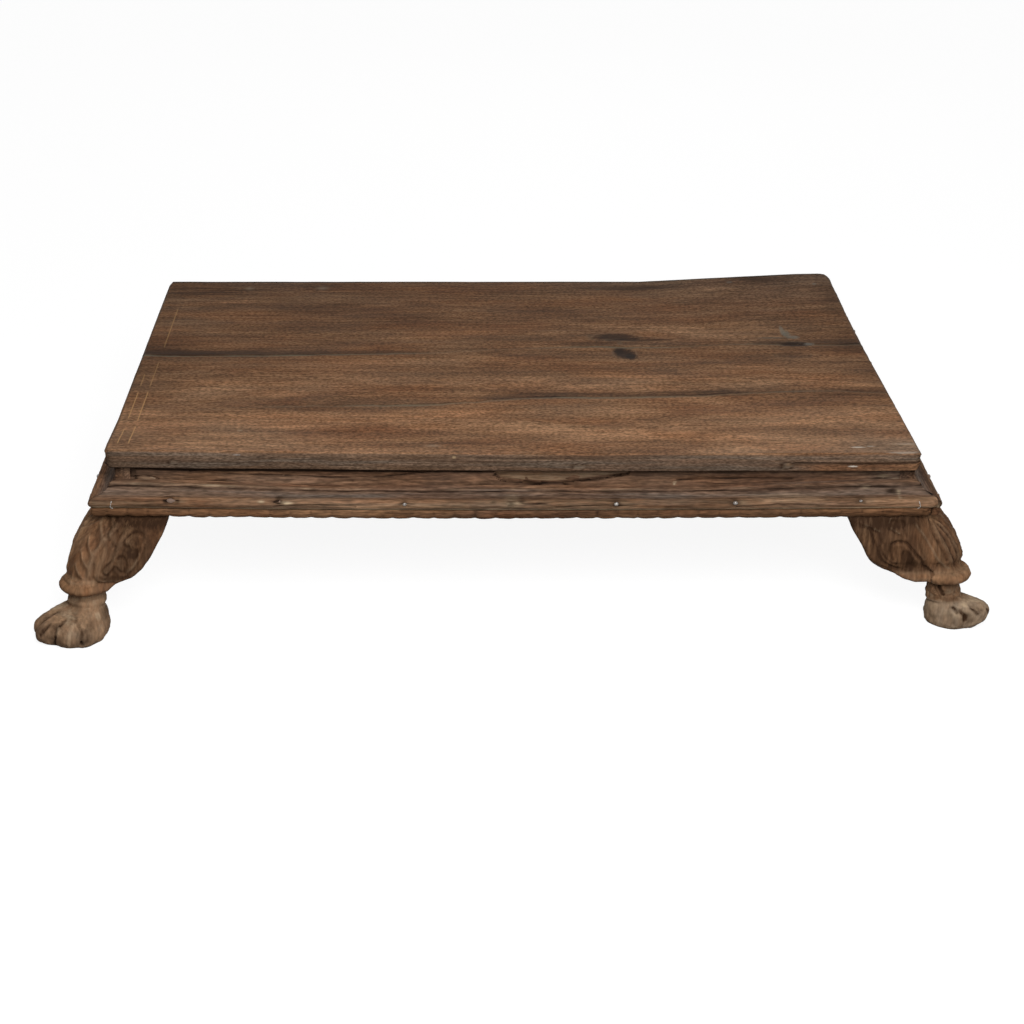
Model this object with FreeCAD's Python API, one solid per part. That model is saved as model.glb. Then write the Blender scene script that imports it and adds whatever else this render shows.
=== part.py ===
import FreeCAD, Part
import math
import os

from FreeCAD import Vector

# Low rectangular table on four carved lion-paw legs. Millimetres, +Z up, front at -Y.
# The origin is on the floor under the middle of the rail frame.

# Overall sizes
top_length = 600.0
top_depth = 400.0
top_thickness = 14.0
leg_height = 89.5
rail_height = 33.5
top_overhang = 5.0
rail_thickness = 11.0
cut_overrun = 2.0

# Top board: one slab, a little left of the frame's middle, its back right corner warped up
top_shift = 2.2
top_end_chamfer = 2.5
top_corner_radius = 4.0
warp_rise = 8.0
warp_start_share = 0.45
warp_full_share = 0.88
warp_root_share = 0.15

# Rail frame: open finger joint at each corner, a let-in repair in the front frieze
finger_height = 12.0
patch_length = 98.0
patch_height = 7.0
patch_depth = 3.0
patch_place_share = 0.11
patch_drop = 5.0

# Ogee moulding, nailed round the rails, and the petal strip under it
moulding_height = 13.5
moulding_width = 18.5
moulding_fillet_shares = (0.216, 0.879)
moulding_cove_shares = (0.44, 0.65)
moulding_neck_shares = (0.70, 0.571)
moulding_crest_shares = (1.0, 0.357)
moulding_toe_share = 0.84
strip_width = 16.5
strip_height = 7.0
strip_edge_share = 0.94
strip_toe_share = 0.88
petal_pitch = 15.0
petal_notch_radius = 1.6
petal_notch_depth = 1.0
petal_scallop_radius = 1.7
petal_scallop_reach = 5.0

# Fasteners
nail_head_radius = 2.6
nail_head_height = 1.4
nail_shank_radius = 1.1
nail_bite = 6.0
nail_proud = 0.4
nail_seat_gap = 0.1
long_nail_place_shares = (-0.856, -0.586, -0.275, -0.01, 0.251, 0.547, 0.859)
short_nail_place_shares = (-1.0, -0.5, 0.0, 0.5, 1.0)
peg_to_nail = 5.2
brad_radius = 0.5
brad_length = 13.0
brad_inset = 8.0
brad_place_shares = (-0.97, -0.33, 0.33, 0.97)
peg_radius = 3.0
peg_bite = 10.0
front_peg_drop = 7.0
side_peg_drop = 20.0
dowel_radius = 2.5
dowel_up = 8.0
dowel_down = 12.0
long_dowel_place_shares = (-0.71, -0.37, 0.37, 0.71)
short_dowel_place_shares = (-0.46, 0.46)

# Battens under the top
batten_width = 40.0
batten_height = 16.0
batten_place_share = 0.44
batten_nail_place_shares = (-0.8, 0.0, 0.8)
batten_nail_bite = 9.0

# Legs: sawn to one outline on two faces, then carved. Their reaches are from the block's middle.
leg_block = 58.0
post_width = 30.0
post_top_gap = 0.3
outer_corner_share = 0.40
side_corner_share = 0.06
inner_corner_share = 0.16
ankle_reach = 35.8
thigh_lap = 13.5
knee_lap = 16.8
# height, outer outline and inner outline: 0 is the block at the top, 1 is the ankle
thigh_shares = (
    (1.000, 0.00, 0.02),
    (0.950, 0.22, 0.06),
    (0.860, 0.52, 0.13),
    (0.750, 0.78, 0.26),
    (0.637, 0.94, 0.43),
    (0.547, 1.00, 0.64),
    (0.470, 1.00, 0.90),
    (0.425, 0.95, 1.03),
)
ruff_radius = 18.6
ruff_top = 46.0
ruff_bottom = 35.0
ruff_lip_share = 0.76
ankle_radius = 12.6
ankle_ring_radius = 14.0
ankle_ring_top = 28.5
ankle_ring_bottom = 22.5
paw_front = 45.0
paw_back = 15.5
paw_half_width = 23.2
paw_height = 25.0
# height, front, back and half width of the paw, depth of the grooves between its toes
paw_shares = (
    (0.00, 0.86, 0.88, 0.84, 0.6),
    (0.14, 0.96, 0.98, 0.96, 1.0),
    (0.35, 1.00, 1.00, 1.00, 1.0),
    (0.58, 0.93, 0.95, 0.92, 0.9),
    (0.78, 0.66, 0.84, 0.73, 0.5),
    (1.00, 0.27, 0.72, 0.48, 0.0),
)
toe_groove_angles = (-66.0, -22.0, 22.0, 66.0)
toe_groove_width = 9.0
toe_groove_share = 0.085
paw_points = 72
# Hand-carved differences: ankle reach along X and along Y, extra width of the thigh's inner
# side along X, length and width of the paw
leg_form_shares = {
    "front_left": (1.00, 0.97, 0.00, 1.00, 1.00),
    "front_right": (1.12, 0.55, 0.34, 0.80, 0.74),
    "back_left": (0.86, 0.90, 0.10, 0.86, 0.88),
    "back_right": (1.00, 0.97, 0.00, 1.00, 1.00),
}
# Where each paw points, in degrees from the table's length
paw_directions = {
    "front_left": 45.0,
    "front_right": 20.0,
    "back_left": 65.0,
    "back_right": 45.0,
}

# Levels and places that follow from the sizes above
frame_length = top_length - top_overhang * 2
frame_depth = top_depth - top_overhang * 2
rail_top = leg_height + rail_height
table_height = rail_top + top_thickness
strip_top = leg_height + strip_height
moulding_top = strip_top + moulding_height
nail_level = strip_top + moulding_crest_shares[1] * moulding_height
frame_half_x = frame_length / 2
frame_half_y = frame_depth / 2
finger_level = rail_top - finger_height
inner_half_x = frame_half_x - rail_thickness
inner_half_y = frame_half_y - rail_thickness
post_centre_x = inner_half_x - post_width / 2
post_centre_y = inner_half_y - post_width / 2
block_half = leg_block / 2
leg_centre_x = frame_half_x + strip_width - block_half
leg_centre_y = frame_half_y + strip_width - block_half
origin = Vector(0, 0, 0)
up = Vector(0, 0, 1)

# Turn about Z, half length along the side, distance of the rail's outer face from the middle
sides = {
    "front": (0, frame_half_x, frame_half_y),
    "right": (90, frame_half_y, frame_half_x),
    "back": (180, frame_half_x, frame_half_y),
    "left": (270, frame_half_y, frame_half_x),
}
batten_signs = {"left": -1, "right": 1}
# Signs of X and Y at each corner
corners = {
    "front_left": (-1, -1),
    "front_right": (1, -1),
    "back_left": (-1, 1),
    "back_right": (1, 1),
}


def block(x_span, y_span, z_span):
    """A box between two values on each axis."""
    size = [abs(span[1] - span[0]) for span in (x_span, y_span, z_span)]
    corner = Vector(min(x_span), min(y_span), min(z_span))
    return Part.makeBox(size[0], size[1], size[2], corner)


def line(start, end):
    return Part.LineSegment(start, end).toShape()


def arc(start, middle, end):
    return Part.Arc(start, middle, end).toShape()


def on_side(shape, side):
    """Turn a piece made for the front side to the side where it goes."""
    turned = shape.copy()
    turned.rotate(origin, up, sides[side][0])
    return turned


def half_length(side):
    return sides[side][1]


def offset(side):
    return sides[side][2]


def is_long(side):
    return side in ("front", "back")


def mitre_prism(side, width, low, high):
    """The plan of an edging between the mitres of two corners, as a solid."""
    run = half_length(side)
    face = -offset(side)
    plan = [
        Vector(-run, face, low),
        Vector(run, face, low),
        Vector(run + width, face - width, low),
        Vector(-run - width, face - width, low),
    ]
    outline = Part.makePolygon(plan + plan[:1])
    return Part.Face(outline).extrude(Vector(0, 0, high - low))


def edging(side, edges, width, low, high):
    """A section swept along a side and mitred at both ends."""
    section = Part.Face(Part.Wire(edges))
    run = half_length(side) + width
    bar = section.extrude(Vector(run * 2, 0, 0))
    bar.translate(Vector(-run, 0, 0))
    return bar.common(mitre_prism(side, width + cut_overrun, low - cut_overrun, high + cut_overrun))


def moulding_bar(side):
    """Ogee: a sloping fillet, a cove and a round nose."""

    def at(shares):
        out = offset(side) + shares[0] * moulding_width
        return Vector(0, -out, strip_top + shares[1] * moulding_height)

    foot = at((0, 0))
    toe = at((moulding_toe_share, 0))
    crest = at(moulding_crest_shares)
    neck = at(moulding_neck_shares)
    cove = at(moulding_cove_shares)
    fillet = at(moulding_fillet_shares)
    head = at((0, 1))
    edges = [
        line(foot, toe),
        arc(toe, crest, neck),
        arc(neck, cove, fillet),
        line(fillet, head),
        line(head, foot),
    ]
    return edging(side, edges, moulding_width, strip_top, moulding_top)


def petal_strip_bar(side):
    """A flat strip with a rounded outer edge, before the petals are cut."""

    def at(out_share, height):
        return Vector(0, -(offset(side) + out_share * strip_width), height)

    middle = leg_height + strip_height / 2
    edges = [
        line(at(0, leg_height), at(strip_toe_share, leg_height)),
        arc(at(strip_toe_share, leg_height), at(1, middle), at(strip_edge_share, strip_top)),
        line(at(strip_edge_share, strip_top), at(0, strip_top)),
        line(at(0, strip_top), at(0, leg_height)),
    ]
    return edging(side, edges, strip_width, leg_height, strip_top)


def petal_cutters(side):
    """The upright notches and the scallops between neighbouring petals."""
    span = half_length(side) + strip_width
    count = int(span * 2 / petal_pitch)
    start = -(count - 1) / 2 * petal_pitch
    face = -(offset(side) + strip_width)
    cutters = []
    for index in range(count):
        place = start + index * petal_pitch
        notch_axis = face - petal_notch_radius + petal_notch_depth
        notch = Part.makeCylinder(
            petal_notch_radius,
            strip_height + cut_overrun * 2,
            Vector(place, notch_axis, leg_height - cut_overrun),
            up,
        )
        scallop = Part.makeCylinder(
            petal_scallop_radius,
            petal_scallop_reach + cut_overrun,
            Vector(place, face - cut_overrun, leg_height),
            Vector(0, 1, 0),
        )
        cutters += [notch, scallop]
    return Part.makeCompound(cutters)


def nail_places(side):
    """Places along a side: the short sides' end nails keep clear of the posts' pegs."""
    if is_long(side):
        return [share * frame_half_x for share in long_nail_place_shares]
    end_place = post_centre_y - peg_to_nail
    return [share * end_place for share in short_nail_place_shares]


def moulding_nail(side, place, gap):
    """One nail, square to the moulding: head outside, shank through into the rail."""
    crest = -(offset(side) + moulding_width)
    head_start = crest - nail_proud
    head = Part.makeCylinder(
        nail_head_radius + gap,
        nail_head_height,
        Vector(place, head_start, nail_level),
        Vector(0, 1, 0),
    )
    shank = Part.makeCylinder(
        nail_shank_radius,
        moulding_width + nail_bite + nail_proud - nail_head_height,
        Vector(place, head_start + nail_head_height, nail_level),
        Vector(0, 1, 0),
    )
    return head.fuse(shank)


def nails(side, gap=0):
    return Part.makeCompound([moulding_nail(side, place, gap) for place in nail_places(side)])


def brads(side):
    """Headless wire brads, driven up through the petal strip into the moulding."""
    along = -(offset(side) + brad_inset)
    pins = []
    for share in brad_place_shares:
        foot = Vector(share * half_length(side), along, leg_height)
        pins.append(Part.makeCylinder(brad_radius, brad_length, foot, up))
    return Part.makeCompound(pins)


def post_pegs(side):
    """Wooden pegs through a rail into the two leg posts at its ends."""
    face = -offset(side)
    place = post_centre_x if is_long(side) else post_centre_y
    drop = front_peg_drop if is_long(side) else side_peg_drop
    pegs = []
    for sign in (-1, 1):
        foot = Vector(sign * place, face, rail_top - drop)
        pegs.append(Part.makeCylinder(peg_radius, rail_thickness + peg_bite, foot, Vector(0, 1, 0)))
    return Part.makeCompound(pegs)


def rail_dowels(side):
    """Blind dowels that stand in a rail's upper edge and enter the top."""
    shares = long_dowel_place_shares if is_long(side) else short_dowel_place_shares
    middle = -(offset(side) - rail_thickness / 2)
    dowels = []
    for share in shares:
        foot = Vector(share * half_length(side), middle, rail_top - dowel_down)
        dowels.append(Part.makeCylinder(dowel_radius, dowel_down + dowel_up, foot, up))
    return Part.makeCompound(dowels)


def all_dowels():
    dowels = []
    for side in sides:
        dowels += on_side(rail_dowels(side), side).Solids
    return Part.makeCompound(dowels)


def patch():
    """A boat-shaped repair let into the front frieze."""
    middle = patch_place_share * frame_half_x
    level = rail_top - patch_drop
    face = -frame_half_y
    left = Vector(middle - patch_length / 2, face, level)
    right = Vector(middle + patch_length / 2, face, level)
    belly = Vector(middle, face, level - patch_height)
    outline = Part.Face(Part.Wire([line(right, left), arc(left, belly, right)]))
    return outline.extrude(Vector(0, patch_depth, 0))


def long_rail(side):
    """Front or back rail: full length below, notched at the ends for the side rails' fingers."""
    face = -offset(side)
    run = half_length(side)
    rail = block((-run, run), (face, face + rail_thickness), (leg_height, rail_top))
    for sign in (-1, 1):
        notch = block(
            (sign * (run - rail_thickness), sign * (run + cut_overrun)),
            (face - cut_overrun, face + rail_thickness + cut_overrun),
            (finger_level, rail_top + cut_overrun),
        )
        rail = rail.cut(notch)
    return rail


def short_rail(side):
    """Side rail: between the long rails, with a finger at the top of each end."""
    face = -offset(side)
    run = half_length(side)
    depth = (face, face + rail_thickness)
    body = block((-run + rail_thickness, run - rail_thickness), depth, (leg_height, rail_top))
    fingers = block((-run, run), depth, (finger_level, rail_top))
    return body.fuse(fingers).removeSplitter()


def rail(side):
    """A rail with the holes of its pegs, nails and dowels."""
    bar = long_rail(side) if is_long(side) else short_rail(side)
    cutters = post_pegs(side).Solids + rail_dowels(side).Solids + nails(side).Solids
    bar = on_side(bar.cut(Part.makeCompound(cutters)), side)
    if side == "front":
        bar = bar.cut(patch())
    return bar


def top_section(x, rise, inset):
    """Section of the top at one place along its length, rounded at the front and the back."""
    low = rail_top + inset
    high = table_height - inset
    middle = (low + high) / 2
    nose = (high - low) / 2
    front = -top_depth / 2 + inset
    back = top_depth / 2 - inset
    root = warp_root_share * top_depth
    p = [
        Vector(x, front + nose, low),
        Vector(x, root, low),
        Vector(x, back - nose, low + rise),
        Vector(x, back, middle + rise),
        Vector(x, back - nose, high + rise),
        Vector(x, root, high),
        Vector(x, front + nose, high),
        Vector(x, front, middle),
    ]
    edges = [
        line(p[0], p[1]),
        line(p[1], p[2]),
        arc(p[2], p[3], p[4]),
        line(p[4], p[5]),
        line(p[5], p[6]),
        arc(p[6], p[7], p[0]),
    ]
    return Part.Wire(edges)


def corner_cutter(x, y):
    """What rounds one corner of the top in plan: a square block less a round post."""
    reach = top_corner_radius
    inner_x = x - math.copysign(reach, x)
    inner_y = y - math.copysign(reach, y)
    low = rail_top - cut_overrun
    high = table_height + warp_rise + cut_overrun
    square = block(
        (inner_x, x + math.copysign(cut_overrun, x)),
        (inner_y, y + math.copysign(cut_overrun, y)),
        (low, high),
    )
    return square.cut(Part.makeCylinder(reach, high - low, Vector(inner_x, inner_y, low), up))


def top_board():
    half = top_length / 2
    stations = [
        (-half, 0, top_end_chamfer),
        (-half + top_end_chamfer, 0, 0),
        (warp_start_share * half, 0, 0),
        (warp_full_share * half, warp_rise, 0),
        (half - top_end_chamfer, warp_rise, 0),
        (half, warp_rise, top_end_chamfer),
    ]
    sections = [top_section(x, rise, inset) for x, rise, inset in stations]
    board = Part.makeLoft(sections, True, True)
    for sign_x, sign_y in corners.values():
        board = board.cut(corner_cutter(sign_x * half, sign_y * top_depth / 2))
    board.translate(Vector(-top_shift, 0, 0))
    holes = all_dowels().Solids
    for name in batten_signs:
        holes += batten_nails(name).Solids
    return board.cut(Part.makeCompound(holes))


def batten(name):
    """A bar across the underside of the top, between the long rails."""
    middle = batten_signs[name] * batten_place_share * frame_half_x
    bar = block(
        (middle - batten_width / 2, middle + batten_width / 2),
        (-inner_half_y, inner_half_y),
        (rail_top - batten_height, rail_top),
    )
    return bar.cut(batten_nails(name))


def batten_nails(name):
    """Nails up through a batten into the top, heads let in flush."""
    middle = batten_signs[name] * batten_place_share * frame_half_x
    foot_level = rail_top - batten_height
    group = []
    for share in batten_nail_place_shares:
        foot = Vector(middle, share * inner_half_y, foot_level)
        head = Part.makeCylinder(nail_head_radius, nail_head_height, foot, up)
        length = batten_height + batten_nail_bite
        group.append(head.fuse(Part.makeCylinder(nail_shank_radius, length, foot, up)))
    return Part.makeCompound(group)


def thigh_section(corner, height_share, outer_share, inner_share):
    """Four-sided section of the leg with one large carved corner and smaller ones beside it."""
    reach_x, reach_y, extra_share = leg_form_shares[corner][:3]
    level = height_share * leg_height

    def outer(reach_share):
        return block_half + outer_share * (reach_share * ankle_reach + thigh_lap - block_half)

    def inner(reach_share):
        return inner_share * (block_half + reach_share * ankle_reach - knee_lap) - block_half

    out_x = outer(reach_x)
    out_y = outer(reach_y)
    in_x = inner(reach_x) - extra_share * block_half
    in_y = inner(reach_y)
    side = min(out_x - in_x, out_y - in_y)
    big = outer_corner_share * side
    small = side_corner_share * side
    soft = inner_corner_share * side
    round_off = 1 - math.sqrt(0.5)

    def rounded(x, y, radius, turn_x, turn_y):
        """Corner at x, y: its two tangent points and the middle of its arc."""
        along_x = Vector(x + turn_x * radius, y, level)
        along_y = Vector(x, y + turn_y * radius, level)
        middle = Vector(x + turn_x * radius * round_off, y + turn_y * radius * round_off, level)
        return along_x, middle, along_y

    a = rounded(out_x, out_y, big, -1, -1)
    b = rounded(in_x, out_y, small, 1, -1)
    c = rounded(in_x, in_y, soft, 1, 1)
    d = rounded(out_x, in_y, small, -1, 1)
    edges = [
        arc(a[2], a[1], a[0]),
        line(a[0], b[0]),
        arc(b[0], b[1], b[2]),
        line(b[2], c[2]),
        arc(c[2], c[1], c[0]),
        line(c[0], d[0]),
        arc(d[0], d[1], d[2]),
        line(d[2], a[2]),
    ]
    return Part.Wire(edges)


def ruff_and_ankle():
    """Turned roll under the thigh, the neck below it and the ring round the ankle."""
    lip = ruff_lip_share * ruff_radius
    ruff_middle = (ruff_top + ruff_bottom) / 2
    ring_middle = (ankle_ring_top + ankle_ring_bottom) / 2
    foot = paw_shares[-2][0] * paw_height

    def at(radius, height):
        return Vector(radius, 0, height)

    edges = [
        line(at(0, foot), at(ankle_radius, foot)),
        line(at(ankle_radius, foot), at(ankle_radius, ankle_ring_bottom)),
        arc(
            at(ankle_radius, ankle_ring_bottom),
            at(ankle_ring_radius, ring_middle),
            at(ankle_radius, ankle_ring_top),
        ),
        line(at(ankle_radius, ankle_ring_top), at(ankle_radius, ruff_bottom)),
        line(at(ankle_radius, ruff_bottom), at(lip, ruff_bottom)),
        arc(at(lip, ruff_bottom), at(ruff_radius, ruff_middle), at(lip, ruff_top)),
        line(at(lip, ruff_top), at(0, ruff_top)),
        line(at(0, ruff_top), at(0, foot)),
    ]
    return Part.Face(Part.Wire(edges)).revolve(origin, up, 360)


def paw_section(corner, height_share, front_share, back_share, width_share, groove_share):
    """Plan of the paw at one height: an egg with grooves between the toes."""
    paw_length_share, paw_width_share = leg_form_shares[corner][3:]
    front = paw_length_share * front_share * paw_front
    back = paw_length_share * back_share * paw_back
    width = paw_width_share * width_share * paw_half_width
    middle = (front - back) / 2
    reach = (front + back) / 2
    points = []
    for index in range(paw_points):
        angle = 360 * index / paw_points - 180
        groove = sum(
            math.exp(-(((angle - place) / toe_groove_width) ** 2)) for place in toe_groove_angles
        )
        scale = 1 - toe_groove_share * groove_share * groove
        x = middle + scale * reach * math.cos(math.radians(angle))
        y = scale * width * math.sin(math.radians(angle))
        points.append(Vector(x, y, height_share * paw_height))
    curve = Part.BSplineCurve()
    curve.interpolate(Points=points, PeriodicFlag=True)
    return Part.Wire([curve.toShape()])


def paw(corner):
    solid = Part.makeLoft([paw_section(corner, *shares) for shares in paw_shares], True, False)
    solid.rotate(origin, up, paw_directions[corner])
    return solid


def carved_leg(corner):
    """Thigh, ruff, ankle and paw, with both outward directions positive."""
    sections = [thigh_section(corner, *shares) for shares in thigh_shares]
    thigh = Part.makeLoft(sections, True, False)
    lower = ruff_and_ankle().fuse(paw(corner))
    reach_x, reach_y = leg_form_shares[corner][:2]
    lower.translate(Vector(reach_x * ankle_reach, reach_y * ankle_reach, 0))
    return thigh.fuse(lower)


def leg(corner):
    """A leg in its place, with the square post that stands inside the frame's corner."""
    sign_x, sign_y = corners[corner]
    carved = carved_leg(corner)
    if sign_x < 0:
        carved = carved.mirror(origin, Vector(1, 0, 0))
    if sign_y < 0:
        carved = carved.mirror(origin, Vector(0, 1, 0))
    carved.translate(Vector(sign_x * leg_centre_x, sign_y * leg_centre_y, 0))
    half = post_width / 2
    post = block(
        (sign_x * post_centre_x - half, sign_x * post_centre_x + half),
        (sign_y * post_centre_y - half, sign_y * post_centre_y + half),
        (leg_height - cut_overrun, rail_top - post_top_gap),
    )
    whole = carved.fuse(post)
    for side in sides:
        whole = whole.cut(on_side(post_pegs(side), side))
    return whole


def save(node, shape):
    shape.exportStep("parts/" + node + ".step")
    solids = len(shape.Solids)
    print(node, "solids", solids, "volume", round(shape.Volume), "valid", shape.isValid())


save("top_board", top_board())
for name in sides:
    save("rail_" + name, rail(name))
    seats = nails(name, nail_seat_gap).Solids
    pins = brads(name)
    moulding = moulding_bar(name).cut(Part.makeCompound(seats + pins.Solids))
    save("moulding_" + name, on_side(moulding, name))
    strip = petal_strip_bar(name).cut(petal_cutters(name)).cut(pins)
    save("petal_strip_" + name, on_side(strip, name))
    save("moulding_nails_" + name, on_side(nails(name), name))
    save("strip_brads_" + name, on_side(pins, name))
    save("post_pegs_" + name, on_side(post_pegs(name), name))
save("frieze_patch", patch())
save("top_dowels", all_dowels())
for name in batten_signs:
    save("batten_" + name, batten(name))
    save("batten_nails_" + name, batten_nails(name))
for name in corners:
    save("leg_" + name, leg(name))
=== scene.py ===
import math

import bmesh
import bpy
import numpy as np
from mathutils import Matrix, Vector


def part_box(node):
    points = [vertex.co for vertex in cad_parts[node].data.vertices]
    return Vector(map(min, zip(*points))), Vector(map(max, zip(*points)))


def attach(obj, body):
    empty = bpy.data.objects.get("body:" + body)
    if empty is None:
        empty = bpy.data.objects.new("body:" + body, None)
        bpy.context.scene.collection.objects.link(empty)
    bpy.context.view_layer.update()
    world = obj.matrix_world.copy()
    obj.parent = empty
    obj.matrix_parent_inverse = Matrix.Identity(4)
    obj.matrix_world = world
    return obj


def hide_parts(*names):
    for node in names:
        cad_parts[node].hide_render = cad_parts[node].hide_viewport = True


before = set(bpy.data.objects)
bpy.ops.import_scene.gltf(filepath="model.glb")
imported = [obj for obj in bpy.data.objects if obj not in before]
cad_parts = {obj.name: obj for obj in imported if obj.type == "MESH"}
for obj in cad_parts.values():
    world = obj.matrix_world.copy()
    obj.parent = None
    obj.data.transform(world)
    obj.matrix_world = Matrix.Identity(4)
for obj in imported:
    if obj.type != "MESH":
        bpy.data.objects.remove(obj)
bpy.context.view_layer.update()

MM = 0.001


def span(node):
    """Lowest and highest corner of a node, in millimetres."""
    low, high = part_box(node)
    return np.array(low) / MM, np.array(high) / MM


# The frame's levels and lengths in millimetres, read from the fixed nodes
rail_low, rail_high = span("rail_front")
strip_low, strip_high = span("petal_strip_front")
moulding_low, moulding_high = span("moulding_front")
board_low, board_high = span("top_board")
rail_bottom, rail_top = rail_low[2], rail_high[2]
strip_top = strip_high[2]
moulding_top = moulding_high[2]
rail_thickness = rail_high[1] - rail_low[1]
long_run = rail_high[0]
short_run = -rail_low[1]
finger_height = 12.0
finger_level = span("rail_left")[1][2] - finger_height
front_sag = 1.4
front_bulge = 1.2
sag_start = 40
sag_depth = 150
moulding_width = -short_run - moulding_low[1]
strip_width = -short_run - strip_low[1]

sides = {
    "front": (0, long_run, short_run),
    "right": (90, short_run, long_run),
    "back": (180, long_run, short_run),
    "left": (270, short_run, long_run),
}
corners = {
    "front_left": (-1, -1),
    "front_right": (1, -1),
    "back_left": (-1, 1),
    "back_right": (1, 1),
}


# Noise and measuring


def lattice(cells, seed):
    """A repeatable value from 0 to 1 at each whole-numbered point."""
    mixed = cells[:, 0] * 73856093 ^ cells[:, 1] * 19349663 ^ cells[:, 2] * 83492791
    mixed = (mixed ^ (seed * 15485863)) & 0x7FFFFFFF
    mixed = ((mixed ^ (mixed >> 13)) * 1274126177) & 0x7FFFFFFF
    mixed = ((mixed ^ (mixed >> 16)) * 668265263) & 0x7FFFFFFF
    return (mixed >> 7 & 0xFFFF) / 0xFFFF


def noise(points, pitch, seed):
    """Smooth noise from -1 to 1 that changes over about one pitch along each axis."""
    place = points / np.array(pitch, float)
    cell = np.floor(place).astype(np.int64)
    part = place - cell
    part = part * part * (3 - 2 * part)
    total = np.zeros(len(points))
    for corner in range(8):
        step = np.array([corner & 1, corner >> 1 & 1, corner >> 2 & 1])
        weight = np.where(step, part, 1 - part).prod(axis=1)
        total += weight * lattice(cell + step, seed)
    return total * 2 - 1


def fractal(points, pitch, seed, octaves=3):
    """Noise with finer noise added at half the pitch and half the height."""
    total = np.zeros(len(points))
    for octave in range(octaves):
        share = 0.5**octave
        total += noise(points, np.array(pitch, float) * share, seed + octave * 7) * share
    return total


def smooth_step(low, high, value):
    share = np.clip((value - low) / (high - low), 0, 1)
    return share * share * (3 - 2 * share)


def bell(value, middle, width, power=2):
    return np.exp(-(((value - middle) / width) ** power))


def wedge(value, width):
    """1 at zero, falling evenly to 0 at the width."""
    return np.clip(1 - value / width, 0, 1)


def oval(x, z, middle_x, middle_z, half_x, half_z):
    """The square of the distance from a place, counted in half sizes."""
    return ((x - middle_x) / half_x) ** 2 + ((z - middle_z) / half_z) ** 2


def columns(x, y, z):
    return np.stack([x, y, z], axis=1)


def smooth_line(points, steps=6):
    """A rounded line through given points."""
    p = np.array(points, float)
    if len(p) < 3:
        return p
    p = np.vstack([2 * p[0] - p[1], p, 2 * p[-1] - p[-2]])
    line = []
    for i in range(1, len(p) - 2):
        for t in np.linspace(0, 1, steps, endpoint=False):
            a = 2 * p[i]
            b = (p[i + 1] - p[i - 1]) * t
            c = (2 * p[i - 1] - 5 * p[i] + 4 * p[i + 1] - p[i + 2]) * t * t
            d = (3 * p[i] - p[i - 1] - 3 * p[i + 1] + p[i + 2]) * t**3
            line.append((a + b + c + d) / 2)
    line.append(p[-2])
    return np.array(line)


def distance_to(points, line, reach=1e9):
    """Distance of each point from a line, the side it is on, and how far along it lies."""
    best = np.full(len(points), 1e9)
    side = np.zeros(len(points))
    share = np.zeros(len(points))
    inside = ((points > line.min(axis=0) - reach) & (points < line.max(axis=0) + reach)).all(axis=1)
    nearby = points[inside]
    found = [field[inside] for field in (best, side, share)]
    count = len(line) - 1
    for i in range(count):
        start = line[i]
        run = line[i + 1] - start
        length = max(float(run @ run), 1e-9)
        offset = nearby - start
        t = np.clip(offset @ run / length, 0, 1)
        gap = offset - t[:, None] * run
        far = np.sqrt((gap**2).sum(axis=1))
        near = far < found[0]
        found[0][near] = far[near]
        found[2][near] = (i + t[near]) / count
        if points.shape[1] == 2:
            found[1][near] = np.sign(run[0] * offset[near, 1] - run[1] * offset[near, 0])
    for field, values in zip((best, side, share), found):
        field[inside] = values
    return best, side, share


def line_gap(x, z, line):
    """Distance from a line that is drawn on an upright face."""
    return distance_to(np.stack([x, z], axis=1), line)[0]


# Meshes


def swept(section, start, stop, steps):
    """A closed section of (y, z) points drawn along X, with both ends filled."""
    bm = bmesh.new()
    count = len(section)
    bmesh.ops.create_grid(bm, x_segments=steps, y_segments=count, size=1.0)
    for v in bm.verts:
        station = round((v.co.x + 1) / 2 * steps)
        y, z = section[round((v.co.y + 1) / 2 * count) % count]
        v.co = (start + (stop - start) * station / steps, y, z)
    bmesh.ops.remove_doubles(bm, verts=bm.verts, dist=0.0001)
    bmesh.ops.holes_fill(bm, edges=[e for e in bm.edges if e.is_boundary], sides=0)
    bmesh.ops.recalc_face_normals(bm, faces=bm.faces)
    return bm


def to_mesh(bm, name):
    mesh = bpy.data.meshes.new(name)
    bm.to_mesh(mesh)
    bm.free()
    return mesh


def read_vectors(mesh, key="co"):
    flat = np.zeros(len(mesh.vertices) * 3, np.float32)
    mesh.vertices.foreach_get(key, flat)
    return flat.reshape(-1, 3).astype(float)


def paint(mesh, name, values):
    """Stores one number or one vector for each point, for the materials to read."""
    kind = "FLOAT" if values.ndim == 1 else "FLOAT_VECTOR"
    field = mesh.attributes.new(name, kind, "POINT")
    key = "value" if values.ndim == 1 else "vector"
    field.data.foreach_set(key, values.astype(np.float32).ravel())


def link(thing):
    bpy.context.scene.collection.objects.link(thing)
    return thing


def place(mesh, name, material, nodes, slot, points, crease=42, **masks):
    """Makes a finished piece from points in millimetres, riding on the table."""
    mesh.vertices.foreach_set("co", (points * MM).astype(np.float32).ravel())
    mesh.update()
    for mask_name in ("dark", "pale", "grey"):
        paint(mesh, mask_name, np.clip(masks.get(mask_name, np.zeros(len(points))), 0, 1))
    paint(mesh, "wood", masks.get("wood", points) * MM)
    mesh.shade_smooth()
    mesh.set_sharp_from_angle(angle=math.radians(crease))
    mesh.materials.append(material)
    piece = link(bpy.data.objects.new(name, mesh))
    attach(piece, "root")
    if nodes:
        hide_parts(*nodes)


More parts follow.
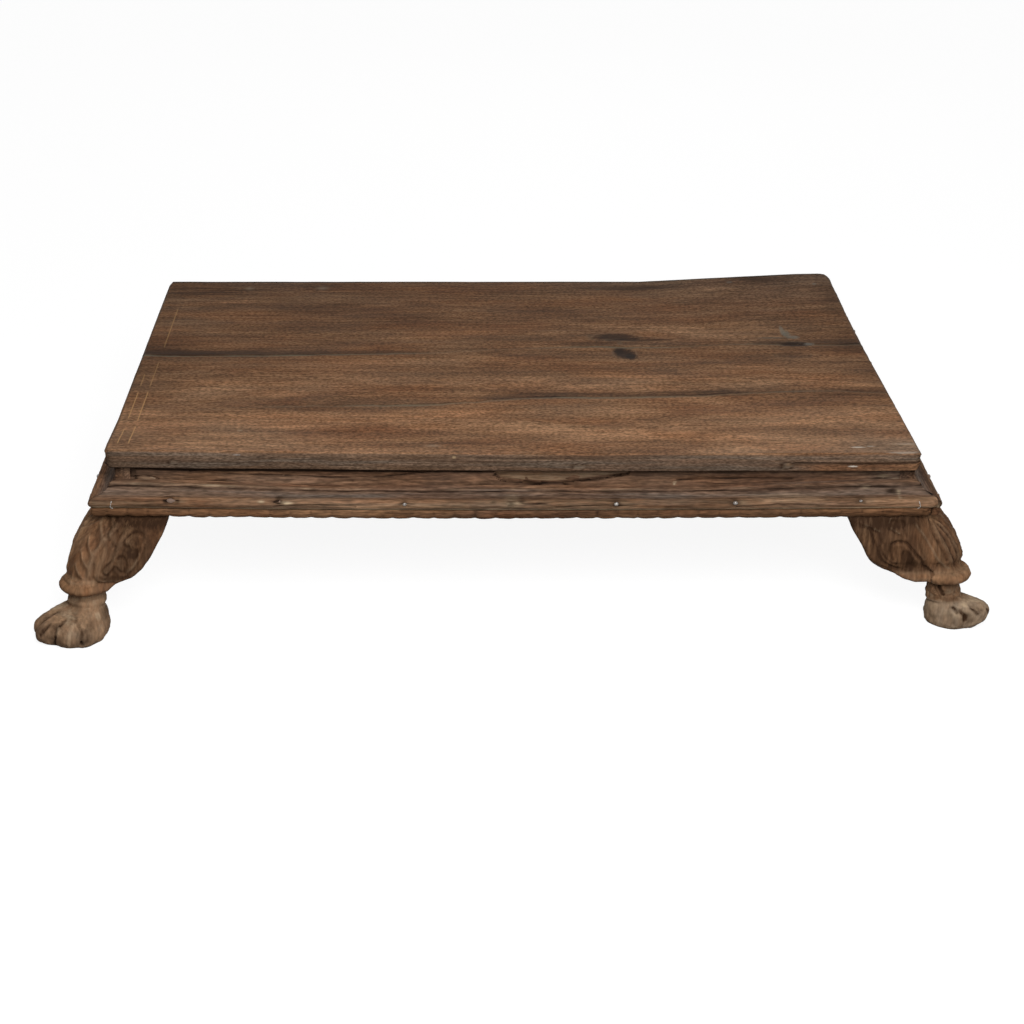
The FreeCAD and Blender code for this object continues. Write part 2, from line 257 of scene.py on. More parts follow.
def settled(points):
    """The front of the plank and frame sags and bulges a little between the legs."""
    x, y, z = points.T
    share = np.clip(-(y + sag_start) / sag_depth, 0, 1) * np.clip(1 - (x / (long_run - 4)) ** 2, 0, 1)
    return columns(x, y - front_bulge * share, z - front_sag * share)


def side_number(side):
    return list(sides).index(side)


def turned(points, side):
    """Points made for the front, turned to the side where they go."""
    angle = math.radians(sides[side][0])
    c, s = math.cos(angle), math.sin(angle)
    x, y, z = points.T
    there = columns(x * c - y * s, x * s + y * c, z)
    return settled(there) if side == "front" else there


# Materials


class Pattern:
    """A number or colour that varies over a surface: one output of a node."""

    def __init__(self, socket):
        self.socket = socket
        self.tree = socket.id_data

    def __add__(self, other):
        return calc("ADD", self, other)

    def __sub__(self, other):
        return calc("SUBTRACT", self, other)

    def __rsub__(self, other):
        return calc("SUBTRACT", other, self)

    def __mul__(self, other):
        return calc("MULTIPLY", self, other)

    def __truediv__(self, other):
        return calc("DIVIDE", self, other)

    def __abs__(self):
        return calc("ABSOLUTE", self)

    def held(self):
        """The same number, held between 0 and 1."""
        self.socket.node.use_clamp = True
        return self


def connect(node, inputs):
    """Gives each named input of a node a pattern, or a plain value."""
    for key, value in inputs.items():
        if isinstance(value, Pattern):
            value.tree.links.new(value.socket, node.inputs[key])
        else:
            node.inputs[key].default_value = value


def add(tree, kind, output, inputs=None, **settings):
    """A new node with its settings and inputs, known by one of its outputs."""
    node = tree.nodes.new(kind)
    for key, value in settings.items():
        setattr(node, key, value)
    connect(node, inputs or {})
    return Pattern(node.outputs[output])


def tree_of(*values):
    return next(value.tree for value in values if isinstance(value, Pattern))


def calc(operation, first, second=0.0):
    return add(tree_of(first, second), "ShaderNodeMath", 0, {0: first, 1: second}, operation=operation)


def blend(factor, first, second, mode="MIX"):
    """One colour laid over another, or multiplied with it."""
    colours = [c if isinstance(c, Pattern) else (*c, 1) for c in (first, second)]
    inputs = {0: factor, 6: colours[0], 7: colours[1]}
    tree = tree_of(factor, first, second)
    return add(tree, "ShaderNodeMix", 2, inputs, data_type="RGBA", blend_type=mode, clamp_factor=True)


def ramp(factor, *stops):
    """A colour ramp through stops, each a place and a colour or grey level."""
    made = add(factor.tree, "ShaderNodeValToRGB", "Color", {"Fac": factor})
    elements = made.socket.node.color_ramp.elements
    while len(elements) < len(stops):
        elements.new(0.5)
    for element, (position, colour) in zip(elements, stops):
        element.position = position
        colour = colour if isinstance(colour, tuple) else (colour,) * 3
        element.color = (*colour, 1)
    return made


def speckle(where, scale, detail, roughness, distortion=0.0):
    """Noise in all directions alike."""
    inputs = {"Vector": where, "Scale": scale, "Detail": detail}
    inputs.update({"Roughness": roughness, "Distortion": distortion})
    return add(where.tree, "ShaderNodeTexNoise", "Fac", inputs)


def grain(wood, along, across, detail=4.0, roughness=0.6, distortion=0.0):
    """Noise drawn out along the grain: its changes per metre along and across it."""
    stretched = add(wood.tree, "ShaderNodeMapping", 0, {"Vector": wood, "Scale": (along, across, across)})
    return speckle(stretched, 1.0, detail, roughness, distortion)


def painted(tree, name, output="Fac"):
    return add(tree, "ShaderNodeAttribute", output, attribute_name=name)


def parts_of(vector):
    split = add(vector.tree, "ShaderNodeSeparateXYZ", 0, {0: vector}).socket.node
    return [Pattern(part) for part in split.outputs]


def near_zero(value, half_width, ease):
    """1 where the value lies within half a width of zero, fading out past it."""
    past = (calc("MAXIMUM", abs(value) - half_width, 0.0) / ease).held()
    return (1.0 - past).held()


def reach_from(wood, middle, half_size, raggedness):
    """Distance from a place in half sizes: 1 at the ragged edge of a knot or mark."""
    inputs = {0: wood, 1: [c * MM for c in middle]}
    offset = add(wood.tree, "ShaderNodeVectorMath", 0, inputs, operation="SUBTRACT")
    inputs = {0: offset, 1: [1 / (s * MM) for s in half_size]}
    scaled = add(wood.tree, "ShaderNodeVectorMath", 0, inputs, operation="MULTIPLY")
    reach = add(wood.tree, "ShaderNodeVectorMath", "Value", {0: scaled}, operation="LENGTH")
    return reach + (speckle(scaled, 2.3, 6.0, 0.7) - 0.5) * raggedness


def knot_colour(colour, wood, middle, half_size, strength):
    """A knot: a ragged dark eye with a thin pale rim, and rings about it that fade out."""
    reach = reach_from(wood, middle, half_size, 1.5)
    half_reach = reach * 0.5
    rim = ramp(half_reach, (0.50, 0.0), (0.57, 0.45), (0.66, 0.0))
    colour = blend(rim * strength, colour, (0.19, 0.14, 0.09))
    eye = ramp(half_reach, (0.34, 1.0), (0.47, 0.6), (0.60, 0.0))
    fade = ramp(half_reach, (0.2, 0.7), (1.0, 0.0))
    rings = (calc("SINE", reach * 15.0) * fade * 0.4).held()
    both = (calc("MAXIMUM", eye, rings) * strength).held()
    return blend(both, colour, (0.020, 0.013, 0.010))


def mark_colour(colour, wood, middle, half_size, strength, tint):
    """A chip, scrape or smear with a ragged edge."""
    half_reach = reach_from(wood, middle, half_size, 1.6) * 0.5
    inside = ramp(half_reach, (0.28, 1.0), (0.58, 0.0))
    return blend(inside * strength, colour, tint)


def seam_colour(colour, wood, gap, shown):
    """A long closed crack: soot above it, a grey-green lip and a broken black line."""
    gap = gap + (grain(wood, 45.0, 90.0) - 0.5) * 5.0
    torn = ramp(grain(wood, 14.0, 60.0, detail=5), (0.36, 0.15), (0.58, 1.0))
    soot = near_zero(gap - 4.5, 2.5, 5.5) * torn * 0.72
    colour = blend((soot * shown).held(), colour, (0.030, 0.021, 0.016))
    thin = ramp(grain(wood, 9.0, 4.0, detail=3), (0.36, 0.35), (0.56, 1.0))
    lip = (near_zero(gap + 1.4, 1.0, 1.7) * thin * shown).held()
    colour = blend(lip, colour, (0.155, 0.130, 0.090))
    broken = ramp(grain(wood, 11.0, 5.0, detail=3), (0.42, 0.15), (0.56, 1.0))
    core = near_zero(gap - 0.9, 0.5, 1.1) * broken * 0.95
    core = (core * (shown * shown)).held()
    return blend(core, colour, (0.014, 0.010, 0.008))


def board_details(colour, wood):
    """Cracks, knots, chips and scribed lines of the plank."""
    gaps = parts_of(painted(wood.tree, "seams", "Vector"))
    shown = parts_of(painted(wood.tree, "seam_shares", "Vector"))
    for i in range(2):
        colour = seam_colour(colour, wood, gaps[i], shown[i])
    for knot in board_knots:
        colour = knot_colour(colour, wood, *knot)
    for mark in board_marks:
        colour = mark_colour(colour, wood, *mark)
    scribed = parts_of(painted(wood.tree, "scribed", "Vector"))
    along = parts_of(wood)[0]
    for place_at, share in zip(scribed_at, scribed):
        scratch = (near_zero(along / MM - place_at, 0.25, 0.45) * share).held()
        colour = blend(scratch * 0.75, colour, (0.42, 0.235, 0.10))
    return colour


def new_material(name):
    material = bpy.data.materials.new(name)
    material.use_nodes = True
    tree = material.node_tree
    return material, tree, tree.nodes["Principled BSDF"]


def tone(colour, share):
    return tuple(c * share for c in colour)


def ripple(contrast, *stops):
    """Stops about 1, drawn nearer to 1 where the contrast is low."""
    return [(place_at, 1 + (level - 1) * contrast) for place_at, level in stops]


def shaded(colour, pattern, contrast, *stops):
    """A colour made darker and lighter by a pattern."""
    return blend(1.0, colour, ramp(pattern, *ripple(contrast, *stops)), "MULTIPLY")


def aged_wood(
    name,
    dark,
    mid,
    light,
    grey,
    pale,
    axis=None,
    band=(6.0, 24.0),
    streak=(12.0, 108.0),
    fibre=(38.0, 300.0),
    contrast=1.0,
    fleck=(160.0, 510.0, 0.8),
    grey_share=0.35,
    relief=0.0003,
    check_pitch=120.0,
    # How dark the dark mask makes the wood: that mask paints soot and dirt, and painted shade too
    soot=0.16,
    details=None,
):
    """Old dry hardwood: broad bands, fine streaks, open pores, grey patina and worn tones, and the painted
    shade and painted highlights that the dark and pale masks carry.
    """
    material, tree, shader = new_material(name)
    if axis is None:
        wood = painted(tree, "wood", "Vector")
    else:
        spin = {"Y": (0, 0, math.pi / 2), "Z": (0, math.pi / 2, 0)}[axis]
        own = add(tree, "ShaderNodeTexCoord", "Object")
        wood = add(tree, "ShaderNodeMapping", 0, {"Vector": own, "Rotation": spin})
    streaks = grain(wood, *streak)
    fibres = grain(wood, *fibre, detail=3, roughness=0.62)
    dashes = grain(wood, fleck[0], fleck[1], detail=1)
    fleck_waves = fleck[2], (0.32, 0.62), (0.5, 1.0), (0.68, 1.38)

    # Bands of lighter and redder wood, then streaks, fibres and flecks
    bands = grain(wood, *band, detail=5, distortion=0.5)
    colour = ramp(bands, (0.34, dark), (0.49, mid), (0.64, light))
    red = tuple(m * s for m, s in zip(mid, (1.08, 0.80, 0.62)))
    reddened = ramp(grain(wood, band[0] * 1.7, band[1] * 1.5), (0.45, 0.0), (0.62, 1.0))
    colour = blend(reddened * 0.3, colour, red)
    colour = shaded(colour, streaks, contrast, (0.34, 0.52), (0.5, 1.0), (0.66, 1.5))
    colour = shaded(colour, fibres, contrast, (0.34, 0.58), (0.5, 1.0), (0.66, 1.46))
    colour = shaded(colour, dashes, *fleck_waves)

    # Grey patina all over, and weathered grey where it is painted on
    patina = ramp(grain(wood, 12.0, 30.0, detail=6), (0.46, 0.0), (0.66, 1.0))
    colour = blend(patina * grey_share, colour, grey)
    ragged = ramp(streaks, (0.36, 0.45), (0.62, 1.25))
    greyed = (painted(tree, "grey") * ragged).held()
    weathered = shaded(grey, fibres, contrast, (0.34, 0.6), (0.5, 1.0), (0.66, 1.4))
    colour = blend(greyed, colour, shaded(weathered, dashes, *fleck_waves))

    # Fine drying checks, most of them in the grey places
    checks = ramp(abs(grain(wood, 6.0, check_pitch, detail=2) - 0.5), (0.0, 1.0), (0.016, 0.0))
    check_patches = ramp(grain(wood, 9.0, 40.0), (0.52, 0.0), (0.60, 1.0))
    check_amount = (painted(tree, "grey") * 0.7 + 0.35 * contrast).held()
    checks = (checks * check_patches * check_amount).held()
    colour = blend(checks, colour, tone(dark, 0.3))
    if details:
        colour = details(colour, wood)

    # Pale places, worn and painted highlights, and dark places, soot, dirt and painted shade
    worn_and_highlit = ramp(fibres, *ripple(contrast, (0.36, 0.3), (0.60, 1.5)))
    colour = blend((painted(tree, "pale") * worn_and_highlit).held(), colour, pale)
    soot_and_shade = ramp(fibres, *ripple(contrast, (0.36, 1.4), (0.64, 0.6)))
    colour = blend((painted(tree, "dark") * soot_and_shade).held(), colour, tone(dark, soot))
    height = streaks * 0.8 + fibres * 0.8 + dashes * 0.4
    bump = add(tree, "ShaderNodeBump", "Normal", {"Strength": 0.8, "Distance": relief, "Height": height})
    connect(shader, {"Base Color": colour, "Normal": bump, "Roughness": streaks * 0.22 + 0.6})
    shader.inputs["Specular IOR Level"].default_value = 0.04
    return material


def old_metal(name, bright, rust, share, roughness):
    """Iron with rust in patches, or bare wire where little of it is rusty."""
    material, tree, shader = new_material(name)
    spots = speckle(add(tree, "ShaderNodeTexCoord", "Object"), 900.0, 5.0, 0.7)
    rusty = ramp(spots, (0.62 - share * 0.4, 0.0), (0.70 - share * 0.2, 1.0))
    bump = add(tree, "ShaderNodeBump", "Normal", {"Strength": 0.6, "Distance": 0.0002, "Height": spots})
    connect(shader, {"Base Color": blend(rusty, bright, rust), "Metallic": 1.0 - rusty})
    connect(shader, {"Roughness": rusty * 0.4 + roughness, "Normal": bump})
    return material


# Knots in the plank: place, half size and darkness
board_knots = (
    ((91, 47, 329), (19, 8.0, 140), 0.85),
    ((113, 42, 329), (26, 3.4, 140), 0.75),
    ((96, 9, 329), (8.5, 9.5, 140), 0.9),
    ((242, 30, 329), (13, 4.5, 140), 0.95),
    ((224, 32, 329), (20, 2.6, 140), 0.5),
    ((236, 4, 329), (13, 6, 140), 0.4),
)
# Chips, scrapes and smears: place, half size, strength and tint. The heights of knots and marks are
# counted in the grain's own measure, which is drawn out by wood_rise.
board_marks = (
    ((92, 14, 329), (5.5, 6.5, 140), 0.95, (0.020, 0.013, 0.010)),
    ((101, 3, 329), (5.5, 7.5, 140), 0.95, (0.016, 0.011, 0.009)),
    ((258, 64, 329), (14.0, 6.0, 140), 0.4, (0.030, 0.020, 0.015)),
    ((235.5, 62, 329), (2.2, 13.0, 140), 0.6, (0.19, 0.19, 0.155)),
    ((238.5, 54, 329), (3.0, 11.0, 140), 0.55, (0.185, 0.185, 0.15)),
    ((243.5, 47, 329), (4.6, 4.5, 140), 0.6, (0.20, 0.19, 0.155)),
    ((224, 46, 329), (15.0, 2.4, 140), 0.6, (0.135, 0.115, 0.085)),
    ((253, 30, 329), (4.5, 2.0, 140), 0.6, (0.20, 0.18, 0.15)),
    ((94, 33, 329), (2.8, 5.0, 140), 0.55, (0.165, 0.115, 0.075)),
    ((90, 22, 329), (13.0, 1.8, 140), 0.65, (0.165, 0.125, 0.08)),
    ((199.5, -203, 307), (3.6, 8.0, 6.5), 0.8, (0.060, 0.036, 0.022)),
    ((200, -203, 308), (2.7, 8.0, 4.6), 0.85, (0.185, 0.105, 0.058)),
    ((252.5, -186, 329), (5.5, 1.2, 140), 0.8, (0.46, 0.42, 0.36)),
    ((262, -184, 329), (3.5, 0.8, 140), 0.6, (0.40, 0.36, 0.30)),
    ((285, -196, 329), (14.0, 1.4, 140), 0.5, (0.36, 0.32, 0.27)),
    ((247, -203, 305), (4.0, 8.0, 1.8), 0.8, (0.46, 0.42, 0.36)),
    ((-44.9, -203, 319), (1.6, 8.0, 3.0), 0.9, (0.42, 0.30, 0.17)),
    ((-204, -203, 322), (3.2, 8.0, 1.2), 0.6, (0.40, 0.38, 0.36)),
    ((-205.5, -158, 329), (2.2, 1.5, 140), 0.5, (0.34, 0.24, 0.15)),
    ((281, 172, 329), (2.4, 2.6, 140), 0.55, (0.24, 0.21, 0.17)),
    ((206, 184, 329), (3.4, 2.4, 140), 0.5, (0.22, 0.20, 0.17)),
    ((85, 176, 329), (3.4, 2.0, 140), 0.4, (0.20, 0.17, 0.13)),
)
scribed_at = (-293.5, -285.5)
board_wood = aged_wood(
    "board_wood",
    dark=(0.122, 0.059, 0.030),
    mid=(0.190, 0.099, 0.050),
    light=(0.256, 0.142, 0.076),
    grey=(0.122, 0.089, 0.065),
    pale=(0.42, 0.34, 0.25),
    streak=(10.0, 96.0),
    fibre=(20.0, 320.0),
    contrast=0.5,
    fleck=(340.0, 620.0, 1.25),
    grey_share=0.18,
    details=board_details,
)
frame_wood = aged_wood(
    "frame_wood",
    dark=(0.064, 0.031, 0.016),
    mid=(0.114, 0.057, 0.030),
    light=(0.186, 0.100, 0.054),
    grey=(0.108, 0.080, 0.062),
    pale=(0.44, 0.34, 0.22),
    streak=(14.0, 170.0),
    fibre=(55.0, 480.0),
    contrast=0.8,
    grey_share=0.25,
    check_pitch=170.0,
)
petal_wood = aged_wood(
    "petal_wood",
    dark=(0.070, 0.031, 0.015),
    mid=(0.128, 0.061, 0.028),
    light=(0.188, 0.096, 0.046),
    grey=(0.09, 0.066, 0.048),
    pale=(0.38, 0.28, 0.2),
    streak=(14.0, 170.0),
    fibre=(55.0, 480.0),
    contrast=0.7,
    grey_share=0.15,
)
leg_wood = aged_wood(
    "leg_wood",
    dark=(0.100, 0.048, 0.024),
    mid=(0.172, 0.088, 0.044),
    light=(0.262, 0.145, 0.074),
    grey=(0.190, 0.142, 0.104),
    pale=(0.42, 0.31, 0.20),
    band=(14.0, 50.0),
    streak=(28.0, 130.0),
    fibre=(90.0, 420.0),
    contrast=0.36,
    fleck=(160.0, 510.0, 0.5),
    grey_share=0.15,
    relief=0.0002,
    soot=0.3,
)
hidden_wood = aged_wood(
    "hidden_wood",
    dark=(0.15, 0.09, 0.05),
    mid=(0.25, 0.16, 0.095),
    light=(0.33, 0.23, 0.15),
    grey=(0.22, 0.18, 0.14),
    pale=(0.45, 0.36, 0.27),
    axis="Y",
)
peg_wood = aged_wood(
    "peg_wood",
    dark=(0.14, 0.09, 0.055),
    mid=(0.21, 0.145, 0.095),
    light=(0.30, 0.215, 0.145),
    grey=(0.22, 0.18, 0.14),
    pale=(0.45, 0.36, 0.27),
    axis="Z",
    band=(60.0, 300.0),
)
dark_iron = old_metal("dark_iron", (0.16, 0.13, 0.115), (0.17, 0.11, 0.08), share=0.9, roughness=0.6)
bright_iron = old_metal("bright_iron", (0.27, 0.255, 0.24), (0.08, 0.055, 0.04), share=0.4, roughness=0.5)
bare_wire = old_metal("bare_wire", (0.42, 0.40, 0.37), (0.12, 0.09, 0.07), share=0.35, roughness=0.45)


# Top board: one warped plank with long cracks, two knots, scribed lines and worn edges

board_thickness = 14.0
board_top = board_low[2] + board_thickness
board_warp = board_high[2] - board_top
board_front = board_low[1]
board_back = board_high[1]
nose_depth = 3.4
nose_points = 26
# How much finer the grain lies on the upright edges than on the flat
wood_rise = 2.4
band_top = 136.4
band_bottom = 129.8
row_pitch = 1.7
column_pitch = 2.5
# Places along the back edge and the plank's rise there, as shares of the full warp
warp_line = ((122, 0.0), (145, 0.16), (178, 0.38), (214, 0.62), (241, 0.80), (262, 0.93), (284, 1.0))
warp_root = 55.0
# The plank sits askew: its front edge stands further forward towards the right end
front_skew = 5.5
front_skew_start = -150.0
end_skew = 5.5
# Long cracks in the top face, in millimetres
upper_crack = (
    (-302, 5), (-250, 3), (-197, 5), (-89, 9), (-58, 12), (6, 21), (69, 26),
    (118, 24), (159, 29), (200, 33), (235, 32), (298, 31),
)
# How clearly each crack shows along the plank
upper_shown = (
    (-300, 1.0), (-225, 1.0), (-150, 0.75), (-60, 0.4), (40, 0.45), (75, 0.9), (120, 0.9),
    (175, 0.4), (215, 0.75), (250, 0.55), (298, 0.95),
)
lower_crack = (
    (-302, -128), (-196, -109), (-87, -105), (-42, -100), (18, -89), (77, -88),
    (137, -85), (205, -77), (249, -73), (298, -80),
)
lower_shown = (
    (-300, 0.0), (-200, 0.12), (-120, 0.45), (-60, 0.75), (0, 1.0), (110, 1.0), (200, 0.8), (298, 0.4),
)
# The row of points across the plank that bends to follow each crack, before it is bent
upper_crack_row = 18.0
lower_crack_row = -92.0
crack_reach = 42
# Stains: place, half length, half width and strength
dark_stains = (
    (-262, 172, 40, 13, 0.55),
    (118, 178, 40, 8, 1.0),
    (232, 188, 28, 11, 1.0),
    (-286, -34, 26, 34, 0.4),
    (-285, 28, 26, 18, 0.5),
    (-240, 7, 40, 5, 0.6),
    (-130, -108, 62, 9, 0.4),
    (30, -82, 190, 7, 0.35),
    (170, -78, 120, 8, 0.35),
    (281, -112, 14, 5, 0.45),
    (285, 60, 18, 60, 0.35),
    (290, 150, 14, 50, 0.4),
    (60, 33, 70, 8, 0.35),
    (-60, 16, 60, 7, 0.3),
    (260, 22, 60, 6, 0.35),
    (-287, -192, 10, 4, 0.45),
)
pale_spots = (
    (-227, 177, 3.0, 5.0, 0.45),
    (-162, 179, 4.0, 4.0, 0.45),
    (290, -181, 9.0, 1.6, 0.4),
    (-60, -184, 5.0, 1.5, 0.25),
)
# Scribed lines across the left end: where each of the two starts and stops
scribed_runs = (
    ((-66, -40), (-135, -80), (-184, -157)),
    ((24, 121), (-66, -14), (-139, -80), (-184, -152)),
)
# Plugs in the front edge: place along it, height, half length
edge_plugs = ((-251, 128.5, 3.4), (46.5, 127.0, 4.5), (199, 128.0, 4.5))
# A split along the right end of the front edge: place and height
edge_split = ((205, 130.0), (250, 129.2), (298, 129.6))


def nose(middle_y, middle_z, sign, count):
    """The rounded edge of the plank, from one face to the other."""
    points = []
    half = board_thickness / 2
    for i in range(count + 1):
        rise = math.sin(math.pi * (i / count - 0.5) * -sign)
        sharpness = 3.2 if rise > 0 else 14
        reach = math.sqrt(max(1 - abs(rise) ** sharpness, 0))
        points.append((middle_y + sign * nose_depth * reach, middle_z + half * rise))
    return points


def board_rows():
    """Places across the top face, closer together beside the cracks."""
    rows = list(np.arange(board_front + nose_depth, board_back - nose_depth, row_pitch))
    for middle in (lower_crack_row, upper_crack_row):
        rows = [y for y in rows if abs(y - middle) > 2.4]
        rows += [middle + step for step in (-2.0, -1.2, -0.5, 0.0, 0.5, 1.2, 2.0)]
    return sorted(rows)


def build_board():
    middle_z = board_low[2] + board_thickness / 2
    front_y = board_front + nose_depth
    back_y = board_back - nose_depth
    section = nose(front_y, middle_z, -1, nose_points)
    section += [(y, board_top) for y in board_rows()[1:]]
    section += nose(back_y, middle_z, 1, nose_points)
    section += [(y, board_low[2]) for y in np.linspace(back_y, front_y, 26)[1:-1]]
    left, right = board_low[0], board_high[0]
    steps = int((right - left) / column_pitch)
    mesh = to_mesh(swept(section, left, right, steps), "top_board")
    points = read_vectors(mesh)
    x, y, z = points.T.copy()
    flat = z > board_top - 0.01

    # The rows beside a crack bend to follow it
    along_only = (1, 0, 0)
    for line, row in ((upper_crack, upper_crack_row), (lower_crack, lower_crack_row)):
        xs, ys = np.array(smooth_line(line)).T
        path = np.interp(x, xs, ys) + 0.8 * noise(points * along_only, (9, 1, 1), 3)
        y += (path - row) * bell(np.abs(points[:, 1] - row), 0, crack_reach, 4) * (z > middle_z)
    bent = columns(x, y, z)

    # Open cracks, dented knots that push the grain aside, stains and scribed lines
    dark, pale, grey = np.zeros((3, len(x)))
    across = y.copy()
    seams = []
    seam_shares = []
    cracks = ((upper_crack_row, 0.8, 31, upper_shown), (lower_crack_row, 0.5, 37, lower_shown))
    for row, depth, seed, line in cracks:
        above = points[:, 1] - row
        shown_here = np.interp(x, *np.array(line, float).T)
        seam_shares.append(shown_here)
        open_share = 0.3 + 0.7 * smooth_step(-0.4, 0.6, noise(bent * along_only, (70, 1, 1), seed))
        off_end = smooth_step(0, 12, x - left) * smooth_step(0, 12, right - x)
        z -= depth * wedge(np.abs(above), 1.1) * open_share * shown_here * flat * off_end
        seams.append(np.where(flat, above, 99))
    for (knot_x, knot_y, _), (half_x, half_y, _), _ in board_knots:
        ring = oval(x, y, knot_x, knot_y, half_x, half_y)
        z -= 0.4 * np.exp(-ring * 1.4) * flat
        push = np.sign(y - knot_y) * half_y * 0.4 * bell(x, knot_x, half_x * 1.9)
        across -= push * np.exp(-np.abs(y - knot_y) / (half_y * 1.8)) * smooth_step(0.5, 1.5, ring)
    for group, field in ((dark_stains, dark), (pale_spots, pale)):
        for spot_x, spot_y, half_x, half_y, strength in group:
            ragged = 1 + 0.5 * fractal(bent, (18, 5, 9), int(spot_x) % 97)
            ring = oval(x, y, spot_x, spot_y, half_x, half_y)
            field += strength * np.exp(-ring * ragged) * (z > middle_z) * (0.6 if field is dark else 1.0)
    scribed = []
    for place_at, runs in zip(scribed_at, scribed_runs):
        ends = [smooth_step(low - 2, low + 1, y) * smooth_step(high + 2, high - 1, y) for low, high in runs]
        scribed.append(sum(ends) * flat)
        z -= 0.2 * bell(x, place_at, 0.9) * scribed[-1]

    # Grain relief, hollows and worn, greyed edges, and painted shade on and under the front edge and towards
    # the back
    z += 0.16 * fractal(bent, (70, 3.4, 9), 5) * flat
    z -= 0.35 * smooth_step(0.1, 0.9, noise(bent, (170, 60, 9), 9)) * flat
    front_edge = smooth_step(front_y + 1.0, front_y - 1.0, y)
    back_edge = smooth_step(back_y - 4.0, back_y + 1.0, y)
    band = smooth_step(band_top + 0.6, band_top - 1.2, z) * smooth_step(band_bottom - 2, band_bottom + 1, z)
    band = front_edge * band
    # The lower rounding of the front edge, painted darker and greyer as shade
    low_edge = front_edge * smooth_step(band_bottom + 1, band_bottom - 2, z) * smooth_step(225, 195, x)
    grey += 0.8 * band + 0.85 * low_edge
    dark += 0.40 * low_edge
    band_cracks = smooth_step(0.1, 0.7, fractal(bent, (130, 9, 1.7), 23))
    dark += band * (0.30 + 0.30 * band_cracks)
    # A painted shadow line along the bottom of the front edge, where the plank overhangs the frieze
    dark += front_edge * 0.9 * smooth_step(124.5, 123.5, z)
    grey += 0.3 * smooth_step(-188, -197, y) * (0.5 + 0.5 * noise(bent, (60, 6, 9), 27)) * flat
    grey += 0.6 * smooth_step(215, 290, x) * smooth_step(-155, -192, y) * flat
    grey += back_edge * 0.4
    patchy = np.clip(0.6 + 0.6 * noise(bent, (70, 200, 9), 29), 0, 1)
    grey += 0.45 * smooth_step(158, 186, y) * flat * patchy
    # Painted shade: the plank grows darker from the front towards the back
    shade_to_back = 0.10 * smooth_step(100, 198, y) * smooth_step(260, 60, x)
    dark += (0.20 * smooth_step(-120, 0, y) + shade_to_back) * flat
    dark += 0.12 * smooth_step(40, -220, x) * smooth_step(50, 130, y) * flat
    grey += 0.25 * smooth_step(80, 240, x) * smooth_step(60, 160, y) * flat
    pale += 0.06 * smooth_step(-100, -180, y) * smooth_step(90, 200, np.abs(x)) * flat
    dark += back_edge * 0.5
    edge_wear = 0.3 * fractal(bent, (26, 6, 4), 41)
    edge_wear += 0.5 * smooth_step(0.45, 1, noise(bent, (34, 8, 7), 43))
    y += front_edge * edge_wear
    z += front_edge * 0.1 * fractal(bent, (60, 5, 1.7), 47) * (z < 136.5)
    y -= back_edge * edge_wear
    for plug_x, plug_z, half in edge_plugs:
        ring = np.sqrt(oval(x, z, plug_x, plug_z, half, half * 0.62))
        face = front_edge * (y < front_y)
        dark += 0.6 * bell(ring, 1.0, 0.16) * face
        pale += 0.16 * (ring < 0.85) * face
        y += 0.35 * bell(ring, 1.0, 0.2) * face

    split = line_gap(x, z, np.array(edge_split))
    y += 1.1 * wedge(split, 1.0) * front_edge
    dark += 0.75 * wedge(split, 1.3) * front_edge

    # Ends: sawn, softened and a little out of square, then the bow and the warp
    half_length = (right - left) / 2
    from_end = half_length - np.abs(x - (left + right) / 2)
    ease = wedge(from_end, 2.6) ** 2 * 2.4
    inward = np.clip((y - board_front) / 8, 0, 1) - np.clip((board_back - y) / 8, 0, 1)
    z += np.sign(middle_z - z) * np.minimum(ease, np.abs(middle_z - z) * 0.6)
    y -= ease * inward * 0.8
    end_mask = smooth_step(2.0, 0.0, from_end)
    dark += 0.3 * end_mask
    dark += 0.15 * smooth_step(26, 0, from_end) * (0.5 + 0.5 * noise(bent, (12, 30, 9), 53))
    x += 0.25 * end_mask * fractal(bent, (5, 9, 4), 57)
    x += 1.5 * smooth_step(left + 40, left, x) * smooth_step(-185, -150, y)
    for sign_x, corner_y in ((-1, board_front), (1, board_front), (-1, board_back), (1, board_back)):
        corner_x = left if sign_x < 0 else right
        reach = 9.0 if sign_x > 0 and corner_y > 0 else 5.5
        reach_x = np.clip(reach - np.abs(x - corner_x), 0, None)
        reach_y = np.clip(reach - np.abs(y - corner_y), 0, None)
        round_off = reach_x * reach_y / reach * 0.42
        x -= sign_x * round_off
        y -= np.sign(corner_y) * round_off
    back_share = (y - board_front) / (board_back - board_front)
    right_share = smooth_step((left + right) / 2, right, x)
    x -= end_skew * back_share * right_share
    skew_share = np.clip((x - front_skew_start) / (right - front_skew_start), 0, 1)
    y -= front_skew * skew_share * smooth_step(0, board_front, y)
    xs, rises = np.array(warp_line).T
    rise = np.interp(x, xs, rises) * board_warp
    z += rise * np.clip((y - warp_root) / (board_back - warp_root), 0, 1)
    x, y, z = settled(columns(x, y, z)).T

    wood = np.stack([points[:, 0], across + 1.4 * noise(bent, (150, 40, 60), 61), z * wood_rise], axis=1)
    paint(mesh, "seams", columns(*seams, 0 * x))
    paint(mesh, "seam_shares", columns(*seam_shares, 0 * x))
    paint(mesh, "scribed", columns(*scribed, 0 * x))
    place(
        mesh, "top_board_worn", board_wood, ["top_board"], "aged_top", columns(x, y, z),
        dark=dark, pale=pale, grey=grey, wood=wood,
    )


# Rails: a plain frieze with open finger joints, splits, a knot and a let-in patch

